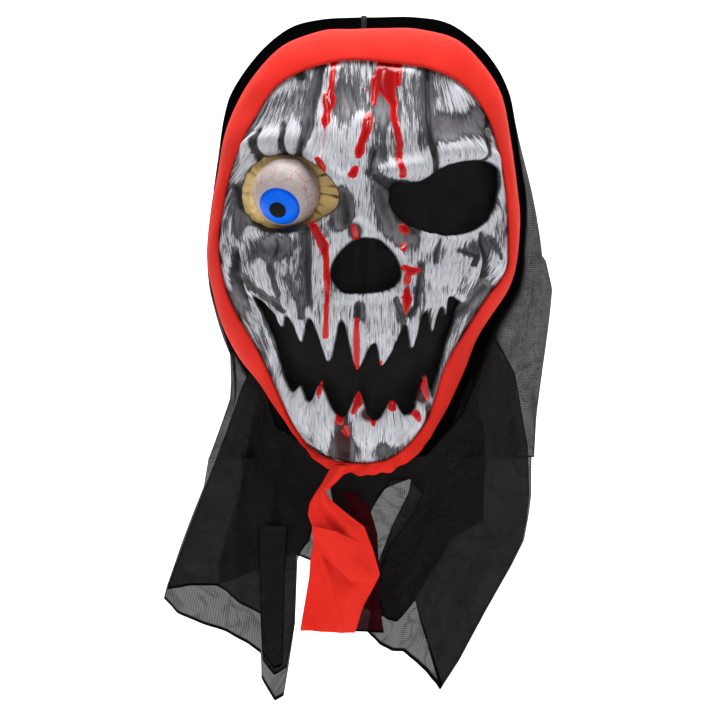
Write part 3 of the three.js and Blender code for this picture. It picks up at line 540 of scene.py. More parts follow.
def node(tree, kind, settings=None, output=0, **inputs):
    """Adds a node and gives one of its outputs. Settings are the node's own values. Inputs go by name, or by
    number after an underscore, and are values or other nodes' outputs."""
    made = tree.nodes.new("ShaderNode" + kind)
    for key, value in (settings or {}).items():
        setattr(made, key, value)
    for key, value in inputs.items():
        socket = made.inputs[int(key[1:])] if key[0] == "_" else made.inputs[key.replace("_", " ")]
        if isinstance(value, bpy.types.NodeSocket):
            tree.links.new(value, socket)
        else:
            socket.default_value = value
    return made.outputs[output]


def new_material(name, **values):
    """A material with a principled shader, and its tree and shader."""
    material = bpy.data.materials.new(name)
    material.use_nodes = True
    tree = material.node_tree
    shader = tree.nodes["Principled BSDF"]
    for key, value in values.items():
        shader.inputs[key.replace("_", " ")].default_value = value
    return material, tree, shader


def painted_latex():
    """Moulded latex, tinted dark grey and dry-brushed in white: grey in the hollows, chalky streaks on the
    bone, painted shade near black in the grooves and at the holes' edges, and wet stage blood over it."""
    material, tree, shader = new_material("moulded_latex_dry_brushed", IOR=1.45, Specular_IOR_Level=0.35)
    brush = node(tree, "Attribute", {"attribute_name": "brush"}, 1)
    place = node(tree, "TexCoord", output="Object")
    wide, thin, nicks = (
        node(tree, "TexNoise", Vector=node(tree, "Mapping", Vector=brush, Scale=(across, along, 1)), Scale=1,
             Detail=detail, Roughness=rough, Distortion=bend)
        for across, along, detail, rough, bend in (
            (620, 38, 5, 0.62, 0.35), (1900, 130, 3, 0.6, 0.2), (1100, 85, 4, 0.55, 0.5)
        )
    )
    white, painted_shade, blood, stain = (
        node(tree, "Attribute", {"attribute_name": name}, 2) for name in ("white", "painted_shade", "blood", "stain")
    )
    patch = node(tree, "TexNoise", Vector=place, Scale=60, Detail=3, Roughness=0.55)
    bristles = node(tree, "Math", ADD, _0=node(tree, "Math", TIMES, _0=wide, _1=0.55),
                    _1=node(tree, "Math", TIMES, _0=thin, _1=0.45))
    uneven = node(tree, "Math", TIMES, _0=node(tree, "Math", TAKE, _0=patch, _1=0.5), _1=0.35)
    bristles = node(tree, "Math", ADD, _0=bristles, _1=uneven)
    raised = node(tree, "Math", TAKE, _0=white, _1=0.5)
    cover = node(tree, "Math", ADD, _0=bristles, _1=node(tree, "Math", TIMES, _0=raised, _1=0.32))
    paint = node(tree, "MapRange", SMOOTH, Value=cover, From_Min=0.42, From_Max=0.55)

    dusky = node(tree, "MapRange", SMOOTH, Value=patch, From_Min=0.35, From_Max=0.65)
    flat_grey = node(tree, "Mix", COLOURS, 2, _0=dusky, _6=colour("#5e5c60"), _7=colour("#7d7b80"))
    hollow = node(tree, "MapRange", SMOOTH, Value=cover, From_Min=0.22, From_Max=0.40)
    bare = node(tree, "Mix", COLOURS, 2, _0=hollow, _6=flat_grey, _7=colour("#3f3e44"))
    thick = node(tree, "MapRange", SMOOTH, Value=thin, From_Min=0.3, From_Max=0.65)
    chalk = node(tree, "Mix", COLOURS, 2, _0=thick, _6=colour("#9a9ca6"), _7=colour("#d6d7dc"))
    skin = node(tree, "Mix", COLOURS, 2, _0=paint, _6=bare, _7=chalk)
    nick = node(tree, "MapRange", SMOOTH, Value=nicks, From_Min=0.57, From_Max=0.68)
    nick = node(tree, "Math", TIMES, _0=nick, _1=0.85)
    skin = node(tree, "Mix", COLOURS, 2, _0=nick, _6=skin, _7=colour("#26252b"))
    # Painted shade: grooves, recesses and the holes' edges go towards near black.
    shade = node(tree, "Math", ADD, _0=painted_shade, _1=node(tree, "Math", TIMES, _0=thin, _1=0.2))
    shade = node(tree, "MapRange", SMOOTH, Value=shade, From_Min=0.25, From_Max=0.95)
    shade = node(tree, "Math", TIMES, _0=shade, _1=0.93)
    skin = node(tree, "Mix", COLOURS, 2, _0=shade, _6=skin, _7=colour("#131214"))
    old = node(tree, "MapRange", SMOOTH, Value=stain, From_Min=0.1, From_Max=0.55)
    old = node(tree, "Math", TIMES, _0=old, _1=0.95)
    skin = node(tree, "Mix", COLOURS, 2, _0=old, _6=skin, _7=colour("#2f080a"))

    ragged = node(tree, "Math", TIMES, _0=node(tree, "Math", TAKE, _0=thin, _1=0.5), _1=1.1)
    edge = node(tree, "Math", ADD, _0=blood, _1=ragged)
    wet = node(tree, "MapRange", SMOOTH, Value=edge, From_Min=0.12, From_Max=-0.16)
    shallow = node(tree, "MapRange", SMOOTH, Value=blood, From_Min=-2.2, From_Max=-0.2)
    red = node(tree, "Mix", COLOURS, 2, _0=shallow, _6=colour("#9c0c10"), _7=colour("#d21a1c"))
    skin = node(tree, "Mix", COLOURS, 2, _0=wet, _6=skin, _7=red)
    tree.links.new(skin, shader.inputs["Base Color"])
    dull = node(tree, "MapRange", SMOOTH, Value=paint, From_Min=0, From_Max=1, To_Min=0.46, To_Max=0.62)
    rough = node(tree, "Mix", NUMBERS, _0=wet, _2=dull, _3=0.14)
    tree.links.new(rough, shader.inputs["Roughness"])
    dry = node(tree, "Math", TAKE, _0=1.0, _1=wet)
    lift = node(tree, "Math", TIMES, _0=bristles, _1=dry)
    tree.links.new(node(tree, "Bump", Strength=0.5, Distance=0.0005, Height=lift), shader.inputs["Normal"])
    return material


def inner_latex():
    """The back of the moulding: bare grey latex, matt and faintly mottled."""
    material, tree, shader = new_material("bare_latex", IOR=1.5, Roughness=0.6)
    place = node(tree, "TexCoord", output="Object")
    mottle = node(tree, "TexNoise", Vector=place, Scale=90, Detail=5, Roughness=0.55)
    grey = node(tree, "Mix", COLOURS, 2, _0=mottle, _6=colour("#4c4a4e"), _7=colour("#8b898c"))
    tree.links.new(grey, shader.inputs["Base Color"])
    return material


def sclera_enamel():
    """Painted hard plastic: pinkish white with thin red veins that fork, ochre by the lid, and a gloss."""
    material, tree, shader = new_material("eye_white_gloss_paint", IOR=1.49, Roughness=0.36,
                                          Specular_IOR_Level=0.3)
    place = node(tree, "Attribute", {"attribute_name": "round"}, 1)
    from_gaze, from_socket = (
        node(tree, "Attribute", {"attribute_name": name}, 2) for name in ("from_gaze", "from_socket")
    )
    bent = node(tree, "TexNoise", output=1, Vector=place, Scale=2.6, Detail=3.0)
    wander = node(tree, "Mix", {"data_type": "VECTOR"}, 1, _0=0.28, _4=place, _5=bent)
    cells = node(tree, "TexVoronoi", {"feature": "DISTANCE_TO_EDGE"}, Vector=wander, Scale=3.4)
    veins = node(tree, "MapRange", SMOOTH, Value=cells, From_Min=0.045, From_Max=0.0)
    reach = node(tree, "MapRange", SMOOTH, Value=from_gaze, From_Min=0.68, From_Max=1.05)
    veins = node(tree, "Math", TIMES, _0=veins, _1=reach)
    cloud = node(tree, "TexNoise", Vector=place, Scale=4, Detail=4, Roughness=0.55)
    flush = node(tree, "Mix", COLOURS, 2, _0=cloud, _6=colour("#bab3af"), _7=colour("#a99a98"))
    veins = node(tree, "Math", TIMES, _0=veins, _1=0.65)
    white = node(tree, "Mix", COLOURS, 2, _0=veins, _6=flush, _7=colour("#b03c3c"))
    ragged = node(tree, "TexNoise", Vector=place, Scale=5, Detail=4, Roughness=0.55)
    lid = node(tree, "Math", ADD, _0=from_socket, _1=node(tree, "Math", TIMES, _0=ragged, _1=0.2))
    deep = node(tree, "MapRange", SMOOTH, Value=lid, From_Min=1.4, From_Max=1.7)
    ochre = node(tree, "Mix", COLOURS, 2, _0=deep, _6=colour("#c9a661"), _7=colour("#96763c"))
    beside = node(tree, "MapRange", SMOOTH, Value=lid, From_Min=1.14, From_Max=1.42)
    tree.links.new(node(tree, "Mix", COLOURS, 2, _0=beside, _6=white, _7=ochre), shader.inputs["Base Color"])
    return material


def iris_enamel():
    """Blue enamel with fine rays out from the pupil and a darker rim."""
    material, tree, shader = new_material("iris_blue_enamel", IOR=1.45, Roughness=0.3,
                                          Specular_IOR_Level=0.15)
    round_pupil = node(tree, "Attribute", {"attribute_name": "rays"}, 1)
    spread = node(tree, "Attribute", {"attribute_name": "spread"}, 2)
    stretched = node(tree, "Mapping", Vector=round_pupil, Scale=(14, 1.5, 1))
    rays = node(tree, "TexNoise", Vector=stretched, Scale=1, Detail=4, Roughness=0.55)
    rim = node(tree, "MapRange", SMOOTH, Value=spread, From_Min=0.82, From_Max=1.0)
    hole = node(tree, "MapRange", SMOOTH, Value=spread, From_Min=0.45, From_Max=0.36)
    blue = node(tree, "Mix", COLOURS, 2, _0=rays, _6=colour("#0058ee"), _7=colour("#087cff"))
    blue = node(tree, "Mix", COLOURS, 2, _0=rim, _6=blue, _7=colour("#0048cc"))
    blue = node(tree, "Mix", COLOURS, 2, _0=hole, _6=blue, _7=colour("#04102c"))
    tree.links.new(blue, shader.inputs["Base Color"])
    return material


def pupil_enamel():
    """Black enamel with a soft gloss."""
    material, tree, shader = new_material("pupil_black_enamel", IOR=1.4, Roughness=0.35,
                                          Specular_IOR_Level=0.1)
    place = node(tree, "TexCoord", output="Object")
    cloud = node(tree, "TexNoise", Vector=place, Scale=300, Detail=4, Roughness=0.55)
    black = node(tree, "Mix", COLOURS, 2, _0=cloud, _6=colour("#050807"), _7=colour("#0e1614"))
    tree.links.new(black, shader.inputs["Base Color"])
    return material


def fleshy_latex():
    """Latex painted as raw flesh: ochre folds with brown painted shade in the creases, slightly wet."""
    material, tree, shader = new_material("flesh_painted_latex", IOR=1.5, Roughness=0.32)
    place = node(tree, "TexCoord", output="Object")
    crease = node(tree, "Attribute", {"attribute_name": "crease"}, 2)
    spots = node(tree, "TexNoise", Vector=place, Scale=260, Detail=5, Roughness=0.65)
    ochre = node(tree, "Mix", COLOURS, 2, _0=spots, _6=colour("#bd9350"), _7=colour("#f3d68c"))
    # Painted shade: the crease value darkens the ochre towards brown.
    deep = node(tree, "Math", ADD, _0=crease, _1=node(tree, "Math", TIMES, _0=spots, _1=0.35))
    deep = node(tree, "MapRange", SMOOTH, Value=deep, From_Min=0.6, From_Max=1.25)
    flesh = node(tree, "Mix", COLOURS, 2, _0=deep, _6=ochre, _7=colour("#4e3215"))
    tree.links.new(flesh, shader.inputs["Base Color"])
    tree.links.new(node(tree, "Bump", Strength=0.4, Distance=0.0006, Height=spots), shader.inputs["Normal"])
    return material


def threads(tree, spacing):
    """Warp and weft ribs at a thread spacing in mm, with the piece's own weave coordinates."""
    flat = node(tree, "UVMap", {"uv_map": "weave"})
    ribs = [
        node(tree, "TexWave", {"bands_direction": axis, "wave_profile": "SIN"}, 1, Vector=flat,
             Scale=2 * math.pi / WAVE_RATE / (spacing * MM), Distortion=1.0, Detail=1.0, Detail_Scale=0.6)
        for axis in ("X", "Y")
    ]
    return node(tree, "Math", LARGER, _0=ribs[0], _1=ribs[1]), flat


def red_cotton(name="red_cotton_plain_weave", deep="#b8130e", bright="#ec2a1b"):
    """Plain-woven red polycotton: matt, faintly ribbed by its threads, paler where the nap catches light. The
    threads are drawn at 0.9 mm, coarser than the real 0.3 mm, so that they show."""
    material, tree, shader = new_material(name, IOR=1.45, Roughness=0.78, Specular_IOR_Level=0.2,
                                          Sheen_Weight=0.15, Sheen_Roughness=0.45,
                                          Sheen_Tint=colour("#ff6a50"))
    weave, flat = threads(tree, COTTON_THREADS)
    cloud = node(tree, "TexNoise", Vector=flat, Scale=45, Detail=4, Roughness=0.55)
    tone = node(tree, "Math", ADD, _0=node(tree, "Math", TIMES, _0=weave, _1=0.35),
                _1=node(tree, "Math", TIMES, _0=cloud, _1=0.75))
    red = node(tree, "Mix", COLOURS, 2, _0=tone, _6=colour(deep), _7=colour(bright))
    tree.links.new(red, shader.inputs["Base Color"])
    tree.links.new(node(tree, "Bump", Strength=0.3, Distance=0.0003, Height=weave), shader.inputs["Normal"])
    return material


def black_voile(name, plies, deep="#111112", pale="#242425"):
    """Sheer black polyester net: threads over open mesh, so that one layer greys what is behind it and
    several go black. The mesh is drawn at 1.2 mm, coarser than the real 0.5 mm, so that it shows."""
    material, tree, shader = new_material(name, IOR=1.45, Roughness=0.8, Specular_IOR_Level=0.0)
    net, flat = threads(tree, VOILE_MESH)
    cloud = node(tree, "TexNoise", Vector=flat, Scale=70, Detail=5, Roughness=0.6)
    hem = node(tree, "Attribute", {"attribute_name": "hem"}, 2)
    cloth = node(tree, "Mix", COLOURS, 2, _0=cloud, _6=colour(deep), _7=colour(pale))
    black = node(tree, "Mix", COLOURS, 2, _0=hem, _6=cloth, _7=colour("#020202"))
    tree.links.new(black, shader.inputs["Base Color"])
    opening = PLY_OPENING**plies
    cover = node(tree, "Math", ADD, _0=node(tree, "Math", TIMES, _0=net, _1=opening), _1=1 - 1.6 * opening)
    uneven = node(tree, "Math", TAKE, _0=cloud, _1=0.5)
    uneven = node(tree, "Math", TIMES, _0=uneven, _1=0.5 * opening)
    cover = node(tree, "Math", ADD, _0=cover, _1=uneven)
    crumple = node(tree, "TexNoise", Vector=flat, Scale=34, Detail=3, Roughness=0.6, Distortion=1.2)
    crease = node(tree, "Math", {"operation": "ABSOLUTE"}, _0=node(tree, "Math", TAKE, _0=crumple, _1=0.5))
    crease = node(tree, "MapRange", SMOOTH, Value=crease, From_Min=0.06, From_Max=0.0)
    crease = node(tree, "Math", TIMES, _0=crease, _1=0.3 * opening)
    cover = node(tree, "Math", ADD, _0=cover, _1=crease)
    cover = node(tree, "Mix", NUMBERS, _0=hem, _2=cover, _3=0.998)
    tree.links.new(cover, shader.inputs["Alpha"])
    return material


def knitted_elastic():
    """Knitted elastic tape: matt black with fine ribs across."""
    material, tree, shader = new_material("elastic_knitted_black", IOR=1.45, Roughness=0.8, Sheen_Weight=0.2)
    place = node(tree, "TexCoord", output="Object")
    ribs = node(tree, "TexWave", {"bands_direction": "Z"}, 1, Vector=place, Scale=200)
    black = node(tree, "Mix", COLOURS, 2, _0=ribs, _6=colour("#0e0e0f"), _7=colour("#2a2a2b"))
    tree.links.new(black, shader.inputs["Base Color"])
    tree.links.new(node(tree, "Bump", Strength=0.5, Distance=0.0004, Height=ribs), shader.inputs["Normal"])
    return material


def nickel_plate():
    """Nickel-plated steel rivets: bright, with a fine turned grain."""
    material, tree, shader = new_material("steel_nickel_plated", Metallic=1.0)
    place = node(tree, "TexCoord", output="Object")
    grain = node(tree, "TexNoise", Vector=place, Scale=900, Detail=3, Roughness=0.55)
    metal = node(tree, "Mix", COLOURS, 2, _0=grain, _6=colour("#8f8f92"), _7=colour("#c4c4c6"))
    tree.links.new(metal, shader.inputs["Base Color"])
    rough = node(tree, "MapRange", SMOOTH, Value=grain, From_Min=0.2, From_Max=0.8, To_Min=0.22, To_Max=0.42)
    tree.links.new(rough, shader.inputs["Roughness"])
    return material


LATEX = painted_latex()
LATEX_BACK = inner_latex()
FLESH = fleshy_latex()
RED = red_cotton()
# A lighter copy of the same red cotton, for the tail and its fold: painted light, as the tail is the edging's
# own end.
RED_PAINTED_LIGHTER = red_cotton("red_cotton_painted_lighter", "#cc1a12", "#fd3526")
VOILE = black_voile("polyester_voile_black", 1)
VOILE_STRETCHED = black_voile("polyester_voile_black_stretched", 0.55)
NET = black_voile("polyester_voile_black_folded", 2)
VOILE_LINED = black_voile("polyester_voile_black_over_red", 2, "#180507", "#380b10")


# ---------------------------------------------------------------------------------------------------------
# The moulded face
# ---------------------------------------------------------------------------------------------------------
def open_holes(bm, x, z):
    """Takes the holes out of a flat grid and draws the edges that are left to the outlines."""
    for loop in HOLES.values():
        gap, near = outline_distance(x, z, loop)
        bm.verts.ensure_lookup_table()
        inside = [f for f in bm.faces if sum(gap[v.index] for v in f.verts) < 0]
        bmesh.ops.delete(bm, geom=inside, context="FACES_ONLY")
        edge = {v.index for e in bm.edges if e.is_boundary for v in e.verts if abs(gap[v.index]) < 2.2}
        for k in edge:
            x[k], z[k] = near[k]
    return x, z


def skull_face():
    """The moulded face: one skin with its holes, relief and paint, thickened inwards."""
    bm, s, t = grid(164, 232)
    a, b = 2 * s - 1, 2 * t - 1
    u, v = a * np.sqrt(1 - b * b / 2), b * np.sqrt(1 - a * a / 2)
    flat = face_point(np.arctan2(v, u), np.hypot(u, v) * SHELL_REACH)
    x, z = flat[:, 0].copy(), flat[:, 2].copy()
    bm.verts.index_update()
    x, z = open_holes(bm, x, z)
    height, white, painted_shade, blood, stain = sculpt(x, z)
    from_band = np.hypot(x / FACE_HALF_WIDTH, (z - FACE_CENTRE_Z) / FACE_HALF_HEIGHT)
    from_band /= band_radius(np.arctan2((z - FACE_CENTRE_Z) / FACE_HALF_HEIGHT, x / FACE_HALF_WIDTH))
    keep = 1 - smoothstep(0.95, 1.01, from_band)
    across, along = brush_place(x, z)
    places = skin_at(x, z) + skin_normal(x, z) * (WALL / 2 + height * keep)[:, None]
    move_points(bm, places)
    layers = {name: bm.verts.layers.float.new(name) for name in ("white", "painted_shade", "blood", "stain")}
    brush = bm.verts.layers.float_vector.new("brush")
    for k, vert in enumerate(bm.verts):
        vert[layers["white"]] = white[k]
        vert[layers["painted_shade"]] = painted_shade[k]
        vert[layers["blood"]] = blood[k]
        vert[layers["stain"]] = stain[k]
        vert[brush] = Vector((across[k], along[k], 0)) * MM
    loose = [vert for vert in bm.verts if not vert.link_faces]
    bmesh.ops.delete(bm, geom=loose, context="VERTS")
    bmesh.ops.recalc_face_normals(bm, faces=bm.faces)
    face_away(bm, HEAD_MIDDLE)
    face = piece("skull_face", bm, LATEX, "mask")
    face.data.materials.append(LATEX_BACK)
    wall = thicken(face, WALL * 0.92).modifiers["wall"]
    wall.material_offset = 1
    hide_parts("face_shell")


# ---------------------------------------------------------------------------------------------------------
# The eye
# ---------------------------------------------------------------------------------------------------------
def ball_frame():
    """The turn from +Z to where the eye looks, and the ball's middle."""
    turn = Vector((0, 0, 1)).rotation_difference(GAZE).to_matrix().to_4x4()
    return Matrix.Translation(Vector(BALL) * MM) @ turn


def eyeball():
    """The bulging eye, with its iris disc and pupil in the direction it looks."""
    bm = bmesh.new()
    bmesh.ops.create_uvsphere(bm, u_segments=96, v_segments=64, radius=PAINTED_BALL * MM)
    round_layer = bm.verts.layers.float_vector.new("round")
    angle_layer = bm.verts.layers.float.new("from_gaze")
    socket_layer = bm.verts.layers.float.new("from_socket")
    for vert in bm.verts:
        vert[round_layer] = vert.co / (BALL_RADIUS * MM)
        vert[angle_layer] = vert.co.angle(Vector((0, 0, 1)))
    bm.transform(ball_frame())
    for vert in bm.verts:
        out = (vert.co - Vector(BALL) * MM).normalized()
        vert[socket_layer] = out.angle(SOCKET_AXIS) - 0.3 * float(smoothstep(-0.8, 0.0, out.x))
    ball = piece("eyeball_white", bm, sclera_enamel(), "mask")
    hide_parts("eyeball")

    edge = math.asin(IRIS_RADIUS / BALL_RADIUS)
    hole = math.asin(PUPIL_RADIUS / BALL_RADIUS)
    bm = bmesh.new()
    bmesh.ops.create_uvsphere(bm, u_segments=96, v_segments=120, radius=(PAINTED_BALL + IRIS_PROUD) * MM)
    rays = bm.verts.layers.float_vector.new("rays")
    spread = bm.verts.layers.float.new("spread")
    low = math.cos(edge) * (PAINTED_BALL + IRIS_PROUD) * MM
    bmesh.ops.bisect_plane(bm, geom=bm.verts[:] + bm.edges[:] + bm.faces[:], plane_co=(0, 0, low),
                           plane_no=(0, 0, -1), clear_outer=True)
    for vert in bm.verts:
        around = math.atan2(vert.co.y, vert.co.x)
        share = math.hypot(vert.co.x, vert.co.y) / (IRIS_RADIUS * MM)
        vert[rays] = (math.cos(around), math.sin(around), share)
        vert[spread] = share
        vert.co.z += (1 - share**2) * 1.0 * MM - 0.25 * MM * (share > 0.985)
    bm.transform(ball_frame())
    iris = thicken(piece("iris_disc_blue", bm, iris_enamel(), "mask"), IRIS_THICKNESS)
    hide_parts("iris_disc")

    bm = bmesh.new()
    bmesh.ops.create_uvsphere(bm, u_segments=48, v_segments=24, radius=PUPIL_RADIUS * MM)
    top = (PAINTED_BALL + IRIS_PROUD + IRIS_THICKNESS) * math.cos(hole * 0.6) * MM
    bm.transform(Matrix.Translation((0, 0, top)) @ Matrix.Diagonal((1, 1, 0.13, 1)))
    bm.transform(ball_frame())
    piece("pupil_disc", bm, pupil_enamel(), "mask")


def eye_collar():
    """The fleshy lid: a roll of folded skin from the ball out to behind the face."""
    columns, rows = 240, 22
    bm, s, t = grid(columns, rows)
    loop = smooth_loop(SOCKET_OUTLINE, 20)
    start = np.arctan2(loop[:, 1], loop[:, 0])
    order = np.argsort(start)
    angle = lerp(-math.pi, math.pi, s)
    radius = np.interp(angle, start[order], np.hypot(loop[:, 0], loop[:, 1])[order], period=2 * math.pi)
    reach = radius * BALL_RADIUS + 3.5
    outer_x, outer_z = BALL[0] + reach * np.cos(angle), BALL[2] + reach * np.sin(angle)
    outer = skin_at(outer_x, outer_z) - skin_normal(outer_x, outer_z) * LID_TUCK
    turn = Vector((0, -1, 0)).rotation_difference(SOCKET_AXIS).to_matrix()
    open_by = lerp(math.radians(80), math.radians(94), np.sin(angle) ** 2)
    ring = np.stack([np.cos(angle) * np.sin(open_by), -np.cos(open_by), np.sin(angle) * np.sin(open_by)], -1)
    lip = ring @ np.array(turn).T * (PAINTED_BALL - 0.5) + BALL
    place = lerp(lip, outer, (t**1.1)[:, None])
    away = place - BALL
    away /= np.linalg.norm(away, axis=1, keepdims=True)
    folds = np.sin(19 * angle + 3.2 * np.sin(2 * angle) + 2.5 * t) * 0.4 + np.sin(37 * angle + 4 * t) * 0.25
    rolls = np.sin(t * math.pi) ** 1.2 * (1.6 + 1.4 * np.cos(angle - 0.1) ** 3)
    rolls += np.sin(t * 11 + 2 * np.sin(3 * angle)) * 0.5 * np.sin(math.pi * t)
    right = 1 + 1.2 * np.clip(np.cos(angle), 0, 1) ** 2
    folds *= right
    place += away * (rolls + folds * np.sin(math.pi * np.clip(t * 1.1, 0, 1)))[:, None]
    move_points(bm, place)
    crease = bm.verts.layers.float.new("crease")
    # Painted shade: darker in the creases of the folds, where the lid meets the ball and where it goes in
    # under the face.
    shade = np.clip(0.32 - 0.5 * folds - 0.15 * np.sin(t * 9 + 2 * np.sin(3 * angle)), 0, 1)
    shade = np.maximum(shade, 0.6 * np.exp(-((t / 0.05) ** 2)) + smoothstep(0.75, 1.0, t))
    for k, vert in enumerate(bm.verts):
        vert[crease] = shade[k]
    bmesh.ops.remove_doubles(bm, verts=bm.verts, dist=1e-5)
    bmesh.ops.recalc_face_normals(bm, faces=bm.faces)
    face_away(bm, BALL)
    collar = thicken(piece("eye_lid_folds", bm, FLESH, "mask"), LID_THICKNESS)
    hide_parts("eye_collar")


# ---------------------------------------------------------------------------------------------------------
# Cloth
# ---------------------------------------------------------------------------------------------------------
def patch(top, bottom, left, right, s, t):
    """Fills four open lines in x and z: left and right run from the top down, the others from the left."""
    down = 1 - t
    sides = lerp(along_line(left, down), along_line(right, down), s[:, None])
    ends = lerp(along_line(bottom, s), along_line(top, s), t[:, None])
    corners = lerp(lerp(along_line(bottom, s * 0), along_line(bottom, s * 0 + 1), s[:, None]),
                   lerp(along_line(top, s * 0), along_line(top, s * 0 + 1), s[:, None]), t[:, None])
    return sides + ends - corners


def sheet_piece(name, shape, columns, rows, size, material, body, slot, away, hem=None):
    """A sheet of cloth. shape gives places in mm for shares s across and t up. It faces away from a place,
    and hem says where it is doubled."""
    bm, s, t = grid(columns, rows)
    measure_out(bm, *size)
    places = shape(s, t)
    turned = hem(s * size[0], t * size[1]) if hem else np.zeros(len(s))
    layer = bm.verts.layers.float.new("hem")
    move_points(bm, places)
    for vert, share in zip(bm.verts, turned):
        vert[layer] = float(share)
    bmesh.ops.remove_doubles(bm, verts=bm.verts, dist=1e-6)
    face_away(bm, away)
    return piece(name, bm, material, body)


def band_surface(angle, t):
    """The edging's middle line: over the face from its inner side (t = 0) to the outline, then back."""
    inner = band_radius(angle) / face_radius(angle)
    reach = lerp(inner, 1, np.clip(t / 0.75, 0, 1))
    place = face_point(angle, reach)
    place[:, 1] += BAND_RETURN * np.clip((t - 0.75) / 0.25, 0, 1)
    return place


def red_edging():
    """The cotton edging, turned under at its inner side, drawn round the rim and gathered at the chin."""
    def shape(s, t):
        angle = 2 * math.pi * s
        under = np.clip((0.12 - t) / 0.12, 0, 1)
        over = np.clip((t - 0.12) / 0.88, 0, 1)
        line = np.where(under > 0, under * 0.1, over)
        step = 0.004
        place = band_surface(angle, line)
        around = band_surface(angle + step, line) - band_surface(angle - step, line)
        down = band_surface(angle, np.clip(line + 0.02, 0, 1))
        down -= band_surface(angle, np.clip(line - 0.02, 0, 1))
        out = np.cross(around, down)
        out /= np.linalg.norm(out, axis=1, keepdims=True)
        from_middle = place - np.array(HEAD_MIDDLE)
        out *= np.sign((out * from_middle).sum(1))[:, None]
        crown = np.sin(math.pi * np.clip(over * 1.15, 0, 1)) ** 0.7
        puff = np.where(under > 0, 3.0 - 1.6 * under, 3.0 + 1.1 * crown)
        low = np.exp(-(((angle - 1.5 * math.pi) / 0.33) ** 2))
        soft = 0.45 * np.sin(11 * angle + 2 * np.sin(3 * angle) + 2.4 * over)
        soft += 0.3 * np.sin(23 * angle - 3 * over)
        gathers = low * (0.9 * np.sin(64 * angle + 5 * over) + 0.8 * np.sin(41 * angle + 3))
        puff = puff + (soft * 0.7 + gathers) * np.sin(math.pi * np.clip(over, 0.05, 0.95))
        return place + out * puff[:, None]
    band = sheet_piece("red_edging", shape, 620, 26, (690, 52), RED, None, "red_cotton", HEAD_MIDDLE)
    thicken(band, COTTON_THICKNESS, 0.0)
    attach(band, "mask")
    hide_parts("red_band")


def crown_facing(across, up):
    """The doubled facing along the hood's front edge, wide over the crown and narrow at the sides."""
    wide = lerp(12, 62, smoothstep(150, 245, up))
    return 1 - smoothstep(wide - 3, wide + 3, across)


def hood_side(side):
    """One half of the hood, from the edging's back edge (s = 0) to the back seam, and from crown to hem."""
    def shape(s, t):
        t = 1 - t
        below = lerp(math.pi / 2, HOOD_END_ANGLE, t)
        angle = below if side > 0 else math.pi - below
        rim = face_point(angle, 1.0)
        out = 1 + BAND_OUT / np.hypot(rim[:, 0], rim[:, 2] - FACE_CENTRE_Z)
        rim_x, rim_y, rim_z = rim[:, 0] * out, rim[:, 1] + BAND_RETURN, lerp(FACE_CENTRE_Z, rim[:, 2], out)
        width = FACE_HALF_WIDTH + read_line(HOOD_EASE[side], rim_z)
        wide = np.where(below > 0, (width - FACE_HALF_WIDTH - BAND_OUT) * np.cos(below),
                        np.clip(width - np.abs(rim_x), 0, None))
        turn = s * math.pi / 2
        lead = np.sin(np.clip(s / 0.28, 0, 1) * math.pi / 2)
        x = (np.abs(rim_x) + wide * lead) * np.cos(turn) ** 0.5
        x *= lerp(1, read_line(HOOD_FULLNESS[side], rim_z), lead)
        seam_z = lerp(SEAM_TOP_Z, HEM_Z, t**1.35)
        y = lerp(rim_y, read_line(HOOD_BACK_LINE, seam_z), np.sin(turn) ** lerp(1, 1.45, t))
        fullness = np.where(below > 0, np.sin(below) + 0.55 * np.sin(2 * below) ** 2, 0)
        z = lerp(rim_z, seam_z, s * s * (3 - 2 * s)) + 24 * fullness * np.sin(math.pi * s)
        folds = (2.6 * np.sin(9 * s * math.pi + 1.5 * np.sin(5 * t)) + 1.2 * np.sin(21 * s * math.pi + 4 * t))
        folds *= smoothstep(0.15, 0.8, t) * np.sin(math.pi * np.clip(s, 0, 1)) ** 0.5
        x = np.clip(x + folds * np.cos(turn), 0, None)
        y = y + folds * np.sin(turn) * smoothstep(0.02, 0.2, 1 - s)
        return np.stack([side * np.clip(x, 0.8, None), y, z], -1)
    word = "left" if side < 0 else "right"
    hood = sheet_piece("hood_side_" + word, shape, 96, 110, (235, 330), VOILE_STRETCHED, "mask", "voile",
                       (0, 0, FACE_CENTRE_Z), crown_facing)
    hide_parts("hood_panel_" + word)


def hanging_folds(s, t, count, size, lean=0.0, seed=0):
    """Soft folds that run down a hanging cloth and open towards its hem, in mm."""
    down = 1 - t
    phase = np.random.default_rng(seed).uniform(0, 6, 4)
    wave = np.sin(count * 2 * math.pi * (s + lean * down) + phase[0] + 0.9 * np.sin(2.2 * down + phase[1]))
    second = 0.45 * np.sin(count * 3.7 * math.pi * (s - 0.2 * down) + phase[2])
    return size * (0.25 + 0.75 * down) * (wave + second)


def low_hem(across, up):
    """A narrow hem along a sheet's lower edge."""
    return up < HEM_WIDTH


def veil(name, lines, edge, step, folds, seed, columns, rows, size):
    """A fall of voile between four lines. Its top follows an edge, given as depths across the mask, and below
    the hinge it hangs straight down, a step in front of or behind the others."""
    def shape(s, t):
        flat = patch(*lines, s, t)
        top = read_line(edge, np.abs(flat[:, 0]))
        straight = smoothstep(HEM_Z + 14, HEM_Z - 36, flat[:, 1])
        y = lerp(top, FALL_Y, straight) + step * lerp(0.5, 1, straight)
        y += hanging_folds(s, t, folds[0], folds[1], folds[2], seed)
        return np.stack([flat[:, 0], y, flat[:, 1]], -1)

    def edges(across, up):
        return (up < HEM_WIDTH) | (across < SELVEDGE) | (across > size[0] - SELVEDGE)
    return sheet_piece(name, shape, columns, rows, size, VOILE, None, "voile", BEHIND, edges)


